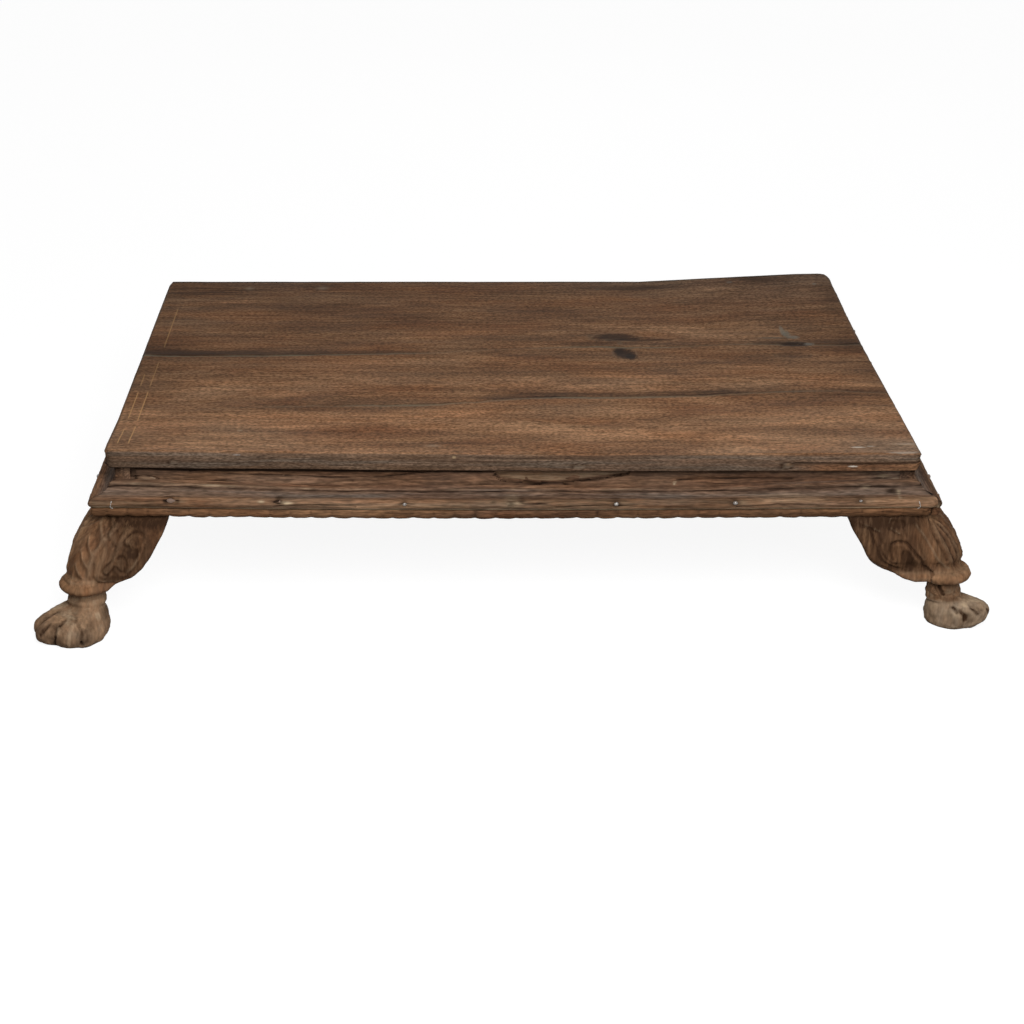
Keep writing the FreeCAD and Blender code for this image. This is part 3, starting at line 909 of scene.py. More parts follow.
patch_outline = (
    (-15.6, 117.7), (-12, 115), (-8.7, 113.1), (0, 112.2), (8.2, 111.7), (28.6, 110.6),
    (40.4, 111.5), (54.8, 113.5), (71.7, 115.9), (83.5, 117.6),
)
patch_crack = ((8.8, 111), (8.4, 118))
frieze_splits = (
    ((-170, 117.0), (-130, 115.6), (-96, 116.6), (-62, 120.5)),
    ((-240, 119.6), (-205, 117.6), (-172, 117.2)),
    ((120, 113.5), (160, 114.5), (205, 113.8)),
    ((-258, 112.0), (-232, 111.2), (-214, 112.4)),
)
frieze_eye = (-271.3, 112.6, 9.0, 2.9)
# The rebate at the left end: from and to along the rail, and in height
frieze_rebate = (-284.2, -279.5, 114.2, 121.5)
# Marks on the front of the frame: place, half size, and how pale (or, below zero, how dark)
rail_marks = (
    (272, 115.4, 4.0, 1.3, 0.4),
    (268, 113.6, 5.0, 0.8, -0.5),
    (281, 112.8, 3.0, 1.0, 0.3),
    (-120, 112.5, 1.2, 0.8, -0.6),
    (118, 111.5, 1.0, 0.7, 0.8),
)
moulding_marks = (
    (278, 106.5, 5.0, 1.0, -0.85),
    (282.5, 106.0, 1.5, 1.6, 0.4),
    (259, 109.0, 3.5, 1.0, 0.45),
    (200, 104.0, 26.0, 1.6, 0.12),
    (-2.5, 102.3, 6.5, 2.6, 0.26),
    (-2.0, 99.4, 8.0, 0.7, -0.4),
    (15.5, 102.2, 10.5, 0.6, -0.95),
    (5.0, 103.6, 2.6, 1.0, -0.6),
    (-16.4, 103.2, 2.2, 0.8, -0.7),
    (-174.8, 102.9, 2.6, 1.3, -0.95),
    (-168.0, 102.4, 4.5, 1.2, 0.55),
    (-186.5, 103.2, 2.4, 0.9, 0.45),
    (-154.0, 100.6, 14.0, 1.0, -0.35),
    (-256.6, 102.9, 2.2, 1.4, -0.75),
    (-247.6, 103.1, 1.5, 1.4, -0.75),
    (-276.0, 99.4, 18.0, 0.6, -0.5),
)


def spot(x, z, mark, shown):
    """How much darker and how much paler a soft oval mark makes each point."""
    shade = mark[4] * np.exp(-(oval(x, z, *mark[:4]) ** 1.5)) * shown
    return np.maximum(-shade, 0), np.maximum(shade, 0)


def rail_section(low, high, rows):
    """The four faces of a bar, with its closest rows on the outer face."""
    outer = [(0.0, z) for z in np.linspace(low, high, rows)]
    inner = [(rail_thickness, z) for z in np.linspace(high, low, 4)]
    top = [(y, high) for y in np.linspace(0, rail_thickness, 5)[1:-1]]
    bottom = [(y, low) for y in np.linspace(rail_thickness, 0, 5)[1:-1]]
    return outer + top + inner + bottom


def build_rail(side):
    """Two bars, one above the other, that meet flush: the upper one ends at its finger joint."""
    run, out = sides[side][1:]
    long_side = side in ("front", "back")
    seed = side_number(side) * 13 + 3
    bars = (
        (finger_level, rail_top, run - rail_thickness if long_side else run, 15),
        (rail_bottom, finger_level, run if long_side else run - rail_thickness, 4),
    )
    bm = bmesh.new()
    for low, high, reach, rows in bars:
        merge_into(bm, swept(rail_section(low, high, rows), -reach, reach, int(reach * 2 / side_pitch)))
    node = "rail_" + side
    mesh = to_mesh(bm, node)
    points = read_vectors(mesh)
    x, y, z = points.T.copy()
    outer = y < 0.01
    dark = np.full(len(x), 0.12)
    pale = np.zeros(len(x))
    grey = 0.25 + 0.2 * noise(points, (60, 9, 6), seed)
    y += outer * (0.22 * fractal(points, (46, 5, 2.2), seed + 1) - 0.1)
    for line in frieze_splits:
        if side != "front":
            line = [(along * run / long_run * 0.9 + seed, level) for along, level in line]
        off = line_gap(x, z, smooth_line(line))
        y += outer * 0.9 * wedge(off, 0.9)
        dark += outer * 0.75 * wedge(off, 1.1)
    if side == "front":
        outline = smooth_line(patch_outline)
        bottom = np.interp(x, outline[:, 0], outline[:, 1])
        inside = (x > outline[0, 0]) & (x < outline[-1, 0]) & (z > bottom) & outer
        y += np.where(inside, 2.4, 0)
        edge = line_gap(x, z, outline)
        dark += outer * 0.9 * wedge(edge, 1.0)
        eye_x, eye_z, half_x, half_z = frieze_eye
        eye = np.sqrt(((x - eye_x) / half_x) ** 2 + ((z - eye_z + 0.12 * (x - eye_x)) / half_z) ** 2)
        y += outer * (0.9 * bell(eye, 1.0, 0.22) - 0.5 * bell(eye, 0, 0.7))
        dark += outer * 0.95 * bell(eye, 1.0, 0.16)
        pale += outer * 0.18 * bell(eye, 0, 0.6)
        start, stop, low, high = frieze_rebate
        rebate = (x > start) & (x < stop) & (z > low) & (z < high) & outer
        y += np.where(rebate, 0.9, 0)
        dark += np.where(rebate, 0.5, 0)
        grey += 0.5 * smooth_step(240, 285, x)
        for mark in rail_marks:
            darker, paler = spot(x, z, mark, outer)
            dark += darker
            pale += paler
    ends = smooth_step(2.0, 0.0, (run - rail_thickness if long_side else run) - np.abs(x))
    dark += outer * 0.35 * ends * (z > finger_level)
    # A painted shadow line at the top of the frieze, under the plank's overhang, fading lower down
    dark += outer * (0.85 * smooth_step(3.6, 2.4, rail_top - z) + 0.1 * smooth_step(8, 3, rail_top - z))
    dark += outer * 0.3 * smooth_step(1.2, 0.0, z - moulding_top)
    local = columns(x, y - out, z)
    wood = columns(x + seed * 900, y - out, z * 1.3)
    place(
        mesh, node + "_worn", frame_wood, [node], "aged_frame", turned(local, side),
        dark=dark, pale=pale, grey=grey, wood=wood,
    )


def merge_into(bm, part, matrix=Matrix()):
    """Adds one shape to a group, in its place."""
    bmesh.ops.transform(part, matrix=matrix, verts=part.verts)
    scratch = to_mesh(part, "part")
    bm.from_mesh(scratch)
    bpy.data.meshes.remove(scratch)


def build_patch():
    """The let-in sliver: paler wood, split once, with a rough face."""
    low, high = span("frieze_patch")
    outline = smooth_line(patch_outline, 4)
    shrunk = [(x, z + 0.35) for x, z in outline]
    bm = bmesh.new()
    loop = [bm.verts.new((x, high[1], z)) for x, z in shrunk]
    loop += [bm.verts.new((x, high[1], rail_top - 0.2)) for x, z in reversed(shrunk[1:-1:2])]
    face = bm.faces.new(loop)
    bmesh.ops.recalc_face_normals(bm, faces=[face])
    made = bmesh.ops.extrude_face_region(bm, geom=[face])
    lifted = [v for v in made["geom"] if isinstance(v, bmesh.types.BMVert)]
    bmesh.ops.translate(bm, verts=lifted, vec=(0, low[1] - high[1] + 0.9, 0))
    bmesh.ops.triangulate(bm, faces=[f for f in bm.faces if len(f.verts) > 4])
    bmesh.ops.subdivide_edges(bm, edges=bm.edges, cuts=2, use_grid_fill=True)
    bmesh.ops.recalc_face_normals(bm, faces=bm.faces)
    mesh = to_mesh(bm, "frieze_patch")
    points = read_vectors(mesh)
    x, y, z = points.T.copy()
    front = y < low[1] + 1.2
    y += front * 0.35 * fractal(points, (17, 9, 2.0), 19)
    crack = line_gap(x, z, np.array(patch_crack))
    y += front * 0.8 * wedge(crack, 1.2)
    dark = front * 0.9 * wedge(crack, 1.2)
    pale = front * (0.16 + 0.15 * noise(points, (19, 9, 3), 29))
    place(
        mesh, "frieze_patch_worn", frame_wood, ["frieze_patch"], "aged_frame", columns(x, y, z),
        dark=dark, pale=pale, wood=columns(x + 4000, y, z * 1.3),
    )


# Ogee moulding and petal strip

# Where the nails are, as shares of half a side
long_nail_shares = (-0.856, -0.586, -0.275, -0.01, 0.251, 0.547, 0.859)
short_nail_shares = (-0.84, -0.42, 0.0, 0.42, 0.84)
nail_level = 101.3
petal_pitch = 15.0
# Distance between the stations along a rail or moulding, and along a petal strip
side_pitch = 1.3
petal_step = 0.85
# The front nails, from the left: how far each is above the nail level, its kind and its size
front_nails = (
    (1.8, "lump", 0.95),
    (1.4, "sunken", 0.5),
    (0.6, "dome", 0.6),
    (0.9, "sunken", 0.5),
    (0.8, "dome", 0.72),
    (1.1, "dome", 0.74),
    (1.6, "glint", 0.52),
)


def nail_places(side):
    """Where each nail of a side is: along it, its level, its kind and its size."""
    run = sides[side][1]
    shares = long_nail_shares if side in ("front", "back") else short_nail_shares
    kinds = ("lump", "dome", "sunken")
    nails = [(0, kinds[i % 3], 0.85) for i in range(len(shares))]
    if side == "front":
        nails = front_nails
    return [(share * run, nail_level + up, kind, size) for share, (up, kind, size) in zip(shares, nails)]


def arc_points(start, middle, end, count):
    """Points along the arc through three points of a section."""
    (ax, ay), (bx, by), (cx, cy) = start, middle, end
    twice = 2 * (ax * (by - cy) + bx * (cy - ay) + cx * (ay - by))
    a2, b2, c2 = ax * ax + ay * ay, bx * bx + by * by, cx * cx + cy * cy
    ux = (a2 * (by - cy) + b2 * (cy - ay) + c2 * (ay - by)) / twice
    uy = (a2 * (cx - bx) + b2 * (ax - cx) + c2 * (bx - ax)) / twice
    radius = math.hypot(ax - ux, ay - uy)
    first = math.atan2(ay - uy, ax - ux)
    turn_mid = (math.atan2(by - uy, bx - ux) - first) % math.tau
    turn_end = (math.atan2(cy - uy, cx - ux) - first) % math.tau
    if turn_mid > turn_end:
        turn_end -= math.tau
    return [
        (
            ux + radius * math.cos(first + turn_end * i / count),
            uy + radius * math.sin(first + turn_end * i / count),
        )
        for i in range(count + 1)
    ]


def moulding_section():
    """Foot, round nose, cove and sloping fillet, as distances out and heights."""
    height = moulding_top - strip_top

    def at(out_share, height_share):
        return out_share * moulding_width, strip_top + height_share * height

    toe = at(0.84, 0)
    nose_arc = arc_points(toe, at(1.0, 0.357), at(0.70, 0.571), 16)
    cove_arc = arc_points(at(0.70, 0.571), at(0.44, 0.65), at(0.25, 0.83), 12)
    fillet = [at(0.235, 0.885), at(0.16, 0.925), at(0.08, 0.96), at(0, 1)]
    back = [(0, z) for z in np.linspace(moulding_top, strip_top, 5)[1:]]
    bottom = [(out, strip_top) for out in np.linspace(0, toe[0], 5)[1:-1]]
    return nose_arc + cove_arc[1:] + fillet + back + bottom


def mitred(x, out, reach, run):
    """Stations along a bar, spread near its ends so that they are cut at 45 degrees."""
    share = x / reach
    slant = share * (run + out)
    weight = smooth_step(0.9, 1.0, np.abs(share))
    return x * (1 - weight) + slant * weight


def worn_corner(x, out, start, length, low, high):
    """The front's right corner is worn off round: how far in each point goes, and how dark it is."""
    tail = np.clip((x - (long_run + start)) / length, 0, 1) * smooth_step(low, high, out)
    return (1 - np.sqrt(1 - tail**2 * 0.96)) * 8.0, 0.9 * smooth_step(0.75, 0.95, tail)


def build_moulding(side):
    run, out_face = sides[side][1:]
    seed = side_number(side) * 17 + 5
    reach = run + moulding_width
    section = [(-out, z) for out, z in moulding_section()]
    node = "moulding_" + side
    mesh = to_mesh(swept(section, -reach, reach, int(reach * 2 / side_pitch)), node)
    points = read_vectors(mesh)
    x, y, z = points.T.copy()
    out = -y
    x = mitred(x, out, reach, run)
    flat = columns(x, y, z)
    shown = smooth_step(0.4, 1.6, out) * (z > strip_top + 0.05)
    dark, pale = np.zeros((2, len(x)))
    cove = bell(out, 8.5, 3.6) * (z > 103)
    grey = 0.15 + 0.75 * cove * (0.8 + 0.3 * noise(flat, (40, 6, 6), seed))
    grey += 0.4 * smooth_step(0.1, 0.8, noise(flat, (55, 5, 3), seed + 1))
    worn = 0.26 * fractal(flat, (34, 3.0, 2.4), seed + 2) + 0.12 * fractal(flat, (7, 3, 3), seed + 3)
    chips = smooth_step(0.5, 0.95, noise(flat, (16, 6, 4), seed + 4)) * bell(out, 17.5, 3.0)
    push = worn - 0.55 * chips
    out += shown * push
    z += shown * push * np.where(z > 101, 0.8, -0.3)
    # A painted highlight along the fillet's edge, broken into worn pale specks, strongest at the left end
    arris = bell(out, 4.0, 0.5) * (z > 107) * (0.25 + 0.75 * smooth_step(-40, -170, x))
    pale += arris * (0.12 + 0.65 * smooth_step(0.0, 0.6, noise(flat, (14, 9, 9), seed + 5)))
    torus = smooth_step(12.5, 14.5, out) * (z < 105) * (z > strip_top + 0.3)
    pale += torus * (0.07 + 0.07 * noise(flat, (60, 9, 2.2), seed + 7))
    grey -= torus * 0.25
    # A painted shadow line at the top of the cove, just under the fillet's edge
    dark += 0.8 * bell(out, 5.3, 0.7) * (z < 108.3) * (z > 105)
    dirt = smooth_step(0.0, 0.6, noise(flat, (35, 9, 9), seed + 6))
    dark += 0.45 * bell(out, 1.0, 1.2) * (z > 108.5) * dirt
    dark += 0.06 * cove
    # Painted light on the foot of the round nose, against the shade that falls there
    pale += 0.4 * smooth_step(2.4, 1.0, z - strip_top) * (out > 15)
    if side == "front":
        turned_up = smooth_step(120, 280, np.abs(x))
        z += (2.9 * turned_up - 0.5 * (1 - turned_up)) * smooth_step(103.5, 108.5, z)
        for mark in moulding_marks:
            darker, paler = spot(x, z, mark, out > 1)
            dark += darker
            pale += paler
            out -= 0.6 * darker * (out > 11)
    for share in (-0.6, 0.1, 0.55):
        start = share * run
        line = [(start, 100.6 + 2.4 * math.sin(share * 9 + seed)), (start + 34, 101.2), (start + 60, 100.4)]
        off = line_gap(x, z, smooth_line(line))
        cut = wedge(off, 0.8) * (out > 12)
        out -= 1.0 * cut
        dark += 0.8 * cut
    for along, level, _, _ in nail_places(side):
        ring = np.sqrt((x - along) ** 2 + (z - level) ** 2)
        near = out > 11
        out -= near * 0.7 * bell(ring, 0, 3.2, 4)
        dark += near * 0.5 * bell(ring, 0, 3.2)
        stain = bell(x + 3.5, along, 7.0) * bell(z, level + 0.7, 1.0)
        dark += near * 0.35 * stain
        pale += near * 0.12 * bell(x - 6.0, along, 5.0) * bell(z, level, 1.2)
    end_gap = (run + out) - np.abs(x)
    soften = smooth_step(1.6, 0.0, end_gap)
    out -= shown * soften * 0.9
    dark += 0.45 * smooth_step(1.2, 0.0, end_gap)
    x -= np.sign(x) * 0.15
    if side == "front":
        inward, darker = worn_corner(x, out, 8, 10, 10, 13)
        out -= inward
        dark += darker
    local = columns(x, -out - out_face, z)
    wood = columns(x + seed * 700, out * 1.5, z * 1.5)
    place(
        mesh, node + "_worn", frame_wood, [node], "aged_frame", turned(local, side),
        dark=dark, pale=pale, grey=grey, wood=wood,
    )


def petal_section():
    """A rounded outer face between the strip's narrower bottom and its top, as (y, z)."""
    low, high = strip_low[2], strip_top
    foot, brow = 0.86 * strip_width, 0.95 * strip_width
    face = arc_points((foot, low), (strip_width, (low + high) / 2), (brow, high), 10)
    top = [(out, high) for out in np.linspace(brow, 0, 5)[1:]]
    bottom = [(out, low) for out in np.linspace(0, foot, 9)[:-1]]
    return [(-out, z) for out, z in face + top + bottom]


def build_petal_strip(side):
    run, out_face = sides[side][1:]
    seed = side_number(side) * 19 + 7
    reach = run + strip_width
    low, high = strip_low[2], strip_top
    node = "petal_strip_" + side
    mesh = to_mesh(swept(petal_section(), -reach, reach, int(reach * 2 / petal_step)), node)
    points = read_vectors(mesh)
    x, y, z = points.T.copy()
    out = -y
    x = mitred(x, out, reach, run)
    flat = columns(x, y, z)

    # Scallops: a notch between each two petals, deepest at the top
    count = int(2 * reach / petal_pitch)
    uneven = 0.8 * noise(flat * (1, 0, 0), (41, 1, 1), seed)
    phase = (x + (count - 1) / 2 * petal_pitch + uneven) / petal_pitch
    from_notch = np.abs(phase - np.round(phase)) * petal_pitch
    outer = smooth_step(10.5, 13.5, out)
    high_share = np.clip((z - low) / (high - low), 0, 1)
    notch = wedge(from_notch, 1.3) * (0.1 + 0.9 * high_share**2)
    depth = 0.7 + 0.3 * noise(flat * (1, 0, 0), (29, 1, 1), seed + 1)
    hollow = 1 - np.sin(np.pi * np.clip(from_notch / (petal_pitch / 2), 0, 1) / 2)
    out += outer * 1.4
    out -= outer * (0.55 * notch + 0.35 * hollow) * depth
    lift = 0.75 * bell(from_notch, 0, 2.4) * depth
    z += outer * lift * (high - z) / (high - low)
    z += outer * 0.35 * fractal(flat, (9, 3, 3), seed + 2) * (high - z) / (high - low)
    out += outer * 0.2 * fractal(flat, (12, 3, 2.4), seed + 3)
    chip = smooth_step(0.55, 0.9, noise(flat, (13, 6, 6), seed + 4)) * outer
    out -= 0.7 * chip
    ticks = wedge(from_notch, 1.3) * (0.08 + 0.92 * bell(high_share, 0.72, 0.26))
    dark = 0.75 * outer * ticks * np.clip(depth * 1.6 - 0.7, 0.15, 1) + 0.3 * chip
    dark += 0.35 * smooth_step(1.2, 0.0, z - low) * outer
    dark += 0.42 * smooth_step(120, 300, x) * (side == "front")
    grey = 0.1 + 0.3 * smooth_step(0, 0.9, noise(flat, (50, 9, 9), seed + 5))
    end_gap = (run + out) - np.abs(x)
    out -= outer * smooth_step(2.0, 0.0, end_gap) * 1.2
    x -= np.sign(x) * 0.15
    if side == "front":
        inward, darker = worn_corner(x, out, 4, 9, 9, 12)
        out -= inward
        dark += darker
    local = columns(x, -out - out_face, z)
    wood = columns(x + seed * 500, out * 1.5, z * 1.5)
    place(
        mesh, node + "_worn", petal_wood, [node], "petal_wood", turned(local, side),
        dark=dark, grey=grey, wood=wood,
    )


# Nails, wires and pegs


# How far each kind of head stands out, and the turn from one head to the next, in radians
nail_proud = {"lump": 0.5, "sunken": -0.7, "dome": 0.4, "glint": 0.2}
nail_turn = 2.39996
peg_length = 20.0
peg_radius = 2.9
# How far out from the middle of a side its two pegs are
long_peg_place = 271.0
short_peg_place = 171.0
# The end of a wire that is bent over: how far past the brad, how far in from the face, and how high
bent_wire = ((9.5, 4.0, 103.2), (9.8, 0.2, 103.0), (10.6, -0.3, 100.5), (11.2, 0.1, 97.6), (9.4, 1.0, 96.8))


def nail_head(kind, seed):
    """One hand-made head and the top of its shank, pointing along -Y."""
    part = bmesh.new()
    bmesh.ops.create_uvsphere(part, u_segments=20, v_segments=14, radius=2.5)
    thickness, unevenness = (0.6, 0.25) if kind in ("dome", "glint") else (0.55, 1.0)
    for v in part.verts:
        bump = noise(np.array([v.co]), (2.6, 2.6, 2.6), seed)[0]
        fine = noise(np.array([v.co]), (1.1, 1.1, 1.1), seed + 1)[0]
        v.co += v.co.normalized() * (bump * unevenness + fine * 0.2)
        v.co.y *= thickness
    shank = bmesh.ops.create_cone(part, cap_ends=True, segments=10, radius1=0.9, radius2=1.1, depth=6.0)
    bmesh.ops.rotate(part, verts=shank["verts"], matrix=Matrix.Rotation(math.pi / 2, 3, "X"))
    bmesh.ops.translate(part, verts=shank["verts"], vec=(0, 3.2, 0))
    return part


def build_nails(side):
    run, out_face = sides[side][1:]
    index = side_number(side)
    groups = {"dark": bmesh.new(), "bright": bmesh.new()}
    for i, (along, level, kind, size) in enumerate(nail_places(side)):
        part = nail_head(kind, i * 5 + index)
        out = out_face + moulding_width - 0.35 * (level - nail_level) ** 2 - 0.9 + nail_proud[kind]
        matrix = Matrix.Translation((along, -out, level)) @ Matrix.Diagonal((size, size, size * 0.72, 1))
        matrix = matrix @ Matrix.Rotation(i * nail_turn, 4, "Y")
        merge_into(groups["bright" if kind in ("dome", "glint") else "dark"], part, matrix)
    node = "moulding_nails_" + side
    for tint, material, nodes in (("dark", dark_iron, [node]), ("bright", bright_iron, [])):
        mesh = to_mesh(groups[tint], node + "_" + tint)
        place(mesh, node + "_" + tint, material, nodes, "iron", turned(read_vectors(mesh), side), crease=60)


def tube(bm, path, radius):
    """A round wire along a few points, closed at both ends."""
    curve = bpy.data.curves.new("wire", "CURVE")
    curve.dimensions = "3D"
    curve.bevel_depth = radius
    curve.bevel_resolution = 3
    curve.use_fill_caps = True
    spline = curve.splines.new("NURBS")
    spline.points.add(len(path) - 1)
    for point, co in zip(spline.points, path):
        point.co = (*co, 1)
    spline.order_u = 3
    spline.use_endpoint_u = True
    holder = link(bpy.data.objects.new("wire", curve))
    mesh = evaluated(holder)
    bm.from_mesh(mesh)
    bpy.data.curves.remove(curve)
    bpy.data.meshes.remove(mesh)


def build_wires(side):
    """Thin wire brads: the ends by the corners stand out of the moulding and are bent over."""
    run, out_face = sides[side][1:]
    bm = bmesh.new()
    for share in (-0.97, -0.33, 0.33, 0.97):
        along = share * run
        foot = -(out_face + 8.0)
        tube(bm, [(along, foot, level) for level in (90.2, 96, 102)], 0.5)
        if abs(share) > 0.9:
            sign = math.copysign(1, share)
            face = -(out_face + moulding_width)
            tube(bm, [(along + sign * past, face + inward, level) for past, inward, level in bent_wire], 0.3)
    node = "strip_brads_" + side
    mesh = to_mesh(bm, node)
    place(mesh, node + "_bent", bare_wire, [node], "wire", turned(read_vectors(mesh), side))


def build_pegs(side):
    """End-grain pegs of the posts, a little proud of the frieze and not quite round."""
    run, out_face = sides[side][1:]
    node = "post_pegs_" + side
    low, high = span(node)
    seed = side_number(side) * 11
    along = long_peg_place if side in ("front", "back") else short_peg_place
    level = (low[2] + high[2]) / 2
    bm = bmesh.new()
    for sign in (-1, 1):
        part = bmesh.new()
        round_bar = {"radius1": peg_radius, "radius2": peg_radius, "depth": peg_length}
        bmesh.ops.create_cone(part, cap_ends=True, segments=28, **round_bar)
        bmesh.ops.bevel(
            part,
            geom=[e for e in part.edges if len(e.link_faces) == 2 and e.calc_face_angle() > 1],
            offset=0.5,
            offset_type="OFFSET",
            segments=3,
            profile=0.5,
            affect="EDGES",
            material=-1,
        )
        drop = 3.0 if side == "front" and sign < 0 else 1.0
        shape = (2.0, 0.62, 1, 1) if drop > 2 else (1.05, 0.55, 1, 1)
        matrix = Matrix.Translation((sign * along, -out_face + peg_length / 2 - 0.15, level - drop))
        matrix = matrix @ Matrix.Rotation(math.pi / 2, 4, "X") @ Matrix.Diagonal(shape)
        merge_into(bm, part, matrix)
    mesh = to_mesh(bm, node)
    points = turned(read_vectors(mesh), side)
    points += 0.12 * noise(points, (2, 2, 2), seed)[:, None]
    place(mesh, node + "_worn", peg_wood, [node], "peg_wood", points)


# Carved legs: thigh with a leaf or scrolls, ruff, roped ankle and lion paw

leg_inset = 12.5
leg_voxel = 0.78
leg_spare = (4.0, 4.0, 0)
skin_top = rail_bottom - 1.0
ruff_level = 47.0
paw_level = 21.5
# Which design a corner has, and whether its two outer faces trade places
leg_designs = {
    "front_left": ("scroll", False),
    "back_right": ("scroll", False),
    "front_right": ("leaf", False),
    "back_left": ("leaf", True),
}
# Ridge between the scrolls and the feathered corner: height, degrees from the corner
feather_edge = (
    (44, 10.0), (49, 11.0), (54.6, 11.6), (60.8, 11.6), (68.3, 12.9), (75.2, 16.6), (83.8, 21.6),
)
feather_pitch = 9.5
feather_rise = 10.5
# How far out the leaf legs' ruff may reach at each height, in millimetres
leaf_reach = ((38, 40, 43, 46, 49, 52, 56, 60), (70, 60, 58, 57.2, 55.2, 52.8, 52, 70))
# Strokes on an outer face: kind, strength, width, and how far out along the face and how high each
# point is, in millimetres. The kinds are groove, ridge, step (higher on its left), bulb and hollow.
scroll_strokes = (
    ("bulb", 1.1, 2.6, ((4.2, 82.5), (7.0, 75.5), (10.6, 67.8), (14.8, 60.1), (18.2, 54.0))),
    ("bulb", 0.9, 3.0, ((3.6, 74.4), (2.6, 72.2))),
    ("bulb", 0.9, 2.6, ((7.6, 60.5), (6.8, 56.0), (8.6, 54.8))),
    ("bulb", 0.8, 2.8, ((15.8, 76.4), (14.0, 73.2))),
    ("bulb", 0.7, 2.0, ((20.5, 74.5), (19.5, 66.0), (23.0, 58.0), (25.0, 50.0))),
    ("groove", 1.2, 0.9, ((19.7, 77.9), (17.4, 74.9), (14.7, 72.1), (11.5, 70.7))),
    ("groove", 1.0, 0.8, ((12.8, 80.0), (10.5, 77.0), (7.9, 79.0))),
    ("groove", 1.3, 1.0, (
        (-8.6, 78.1), (-4.3, 79.9), (-0.1, 79.0), (3.6, 75.9), (6.2, 73.5), (4.6, 71.1), (1.9, 70.7),
    )),
    ("groove", 1.3, 0.9, (
        (10.0, 62.7), (7.3, 64.2), (4.1, 62.7), (2.9, 59.1), (3.8, 55.3), (5.5, 53.1), (8.1, 53.7),
        (10.2, 56.4),
    )),
    ("groove", 1.3, 0.9, (
        (12.0, 69.0), (14.8, 61.2), (18.7, 58.0), (21.2, 54.8), (20.5, 52.6), (18.4, 51.4), (16.2, 52.6),
        (12.3, 57.0),
    )),
    ("ridge", 0.7, 1.0, ((-6.0, 66.0), (-3.9, 60.6), (-1.6, 57.0), (2.2, 53.7))),
    ("groove", 0.9, 0.9, ((27.2, 59.0), (27.9, 53.1), (26.6, 47.4), (24.2, 43.9))),
    ("groove", 0.8, 0.8, ((19.7, 46.8), (16.8, 51.4))),
    ("groove", 0.8, 0.8, ((-10.0, 72.0), (-8.2, 65.5), (-3.5, 57.0), (3.0, 50.5), (10.0, 46.5))),
    ("hollow", 0.7, 4.5, ((-2.0, 65.7), (2.5, 67.2))),
    ("hollow", 0.5, 4.0, ((-3.4, 74.0), (-3.0, 70.0))),
    ("groove", 0.7, 0.8, ((26.0, 84.5), (22.6, 79.0), (20.0, 76.0))),
    ("groove", 0.6, 0.7, ((17.5, 86.0), (15.0, 82.0))),
)
# The long edge of the leaf, cut as a step and again as a groove
leaf_edge = (
    (-19.4, 79.3), (-17.0, 70.2), (-13.4, 63.5), (-9.8, 56.8), (-4.4, 52.0), (0.9, 49.2), (9.2, 47.1),
)
leaf_strokes = (
    ("step", 1.1, 6.0, (
        (-25.5, 82.5), (-22.6, 81.5), (-19.5, 80.9), (-17.2, 79.3), (-13.7, 77.4), (-12.1, 72.8),
        (-10.7, 70.2),
    )),
    ("step", 1.3, 5.0, ((-6.2, 87.5), (-7.2, 85.7), (-7.0, 81.2), (-3.8, 79.3), (0.8, 76.4))),
    ("hollow", 1.0, 3.2, ((-4.5, 83.5), (0.0, 81.9), (3.0, 83.0))),
    ("step", 0.9, 4.0, leaf_edge),
    ("groove", 0.9, 0.9, leaf_edge),
    ("groove", 1.0, 0.9, ((-13.0, 66.9), (-8.7, 59.5), (-4.0, 54.7), (0.6, 52.7))),
    ("groove", 1.5, 1.1, (
        (-2.2, 56.1), (-4.1, 60.8), (-4.5, 66.8), (-1.9, 69.5), (3.1, 70.1), (7.5, 68.8), (11.6, 64.2),
        (15.1, 59.5), (18.6, 56.1), (20.3, 50.6), (24.2, 48.5), (28.4, 44.3),
    )),
    ("step", 1.0, 5.0, (
        (28.4, 44.3), (24.2, 48.5), (20.3, 50.6), (18.6, 56.1), (15.1, 59.5), (11.6, 64.2), (7.5, 68.8),
    )),
    ("hollow", 1.5, 3.4, ((7.5, 60.2), (10.6, 53.3), (12.6, 44.3))),
    ("hollow", 1.6, 3.3, ((21.5, 46.5), (25.0, 44.5))),
    ("groove", 1.1, 0.6, (
        (31.4, 52.7), (30.5, 48.5), (27.5, 44.0), (28.3, 35.4), (31.4, 31.1), (35.3, 25.1),
    )),
    ("ridge", 0.9, 0.8, (
        (13.5, 85.0), (17.5, 79.3), (22.3, 72.2), (27.5, 62.2), (31.7, 56.1), (36.6, 50.6), (40.5, 48.8),
    )),
    ("groove", 1.3, 1.4, ((32.9, 83.8), (40.1, 74.7), (44.7, 65.2), (47.6, 55.3))),
    ("groove", 1.4, 1.5, ((28.8, 85.0), (33.0, 76.7), (38.5, 66.2), (43.0, 56.8), (47.0, 50.5))),
    ("groove", 1.2, 1.4, ((25.6, 84.5), (28.0, 74.9), (33.0, 65.3), (38.0, 55.5))),
    ("ridge", 0.6, 1.0, ((30.0, 80.0), (35.5, 70.0), (40.5, 60.0), (43.5, 53.0))),
    ("groove", 0.8, 0.9, ((4.5, 84.0), (6.0, 78.0), (7.5, 74.0))),
    ("groove", 0.7, 0.8, ((17.0, 84.0), (19.0, 74.0), (17.5, 66.0), (20.5, 58.0))),
)
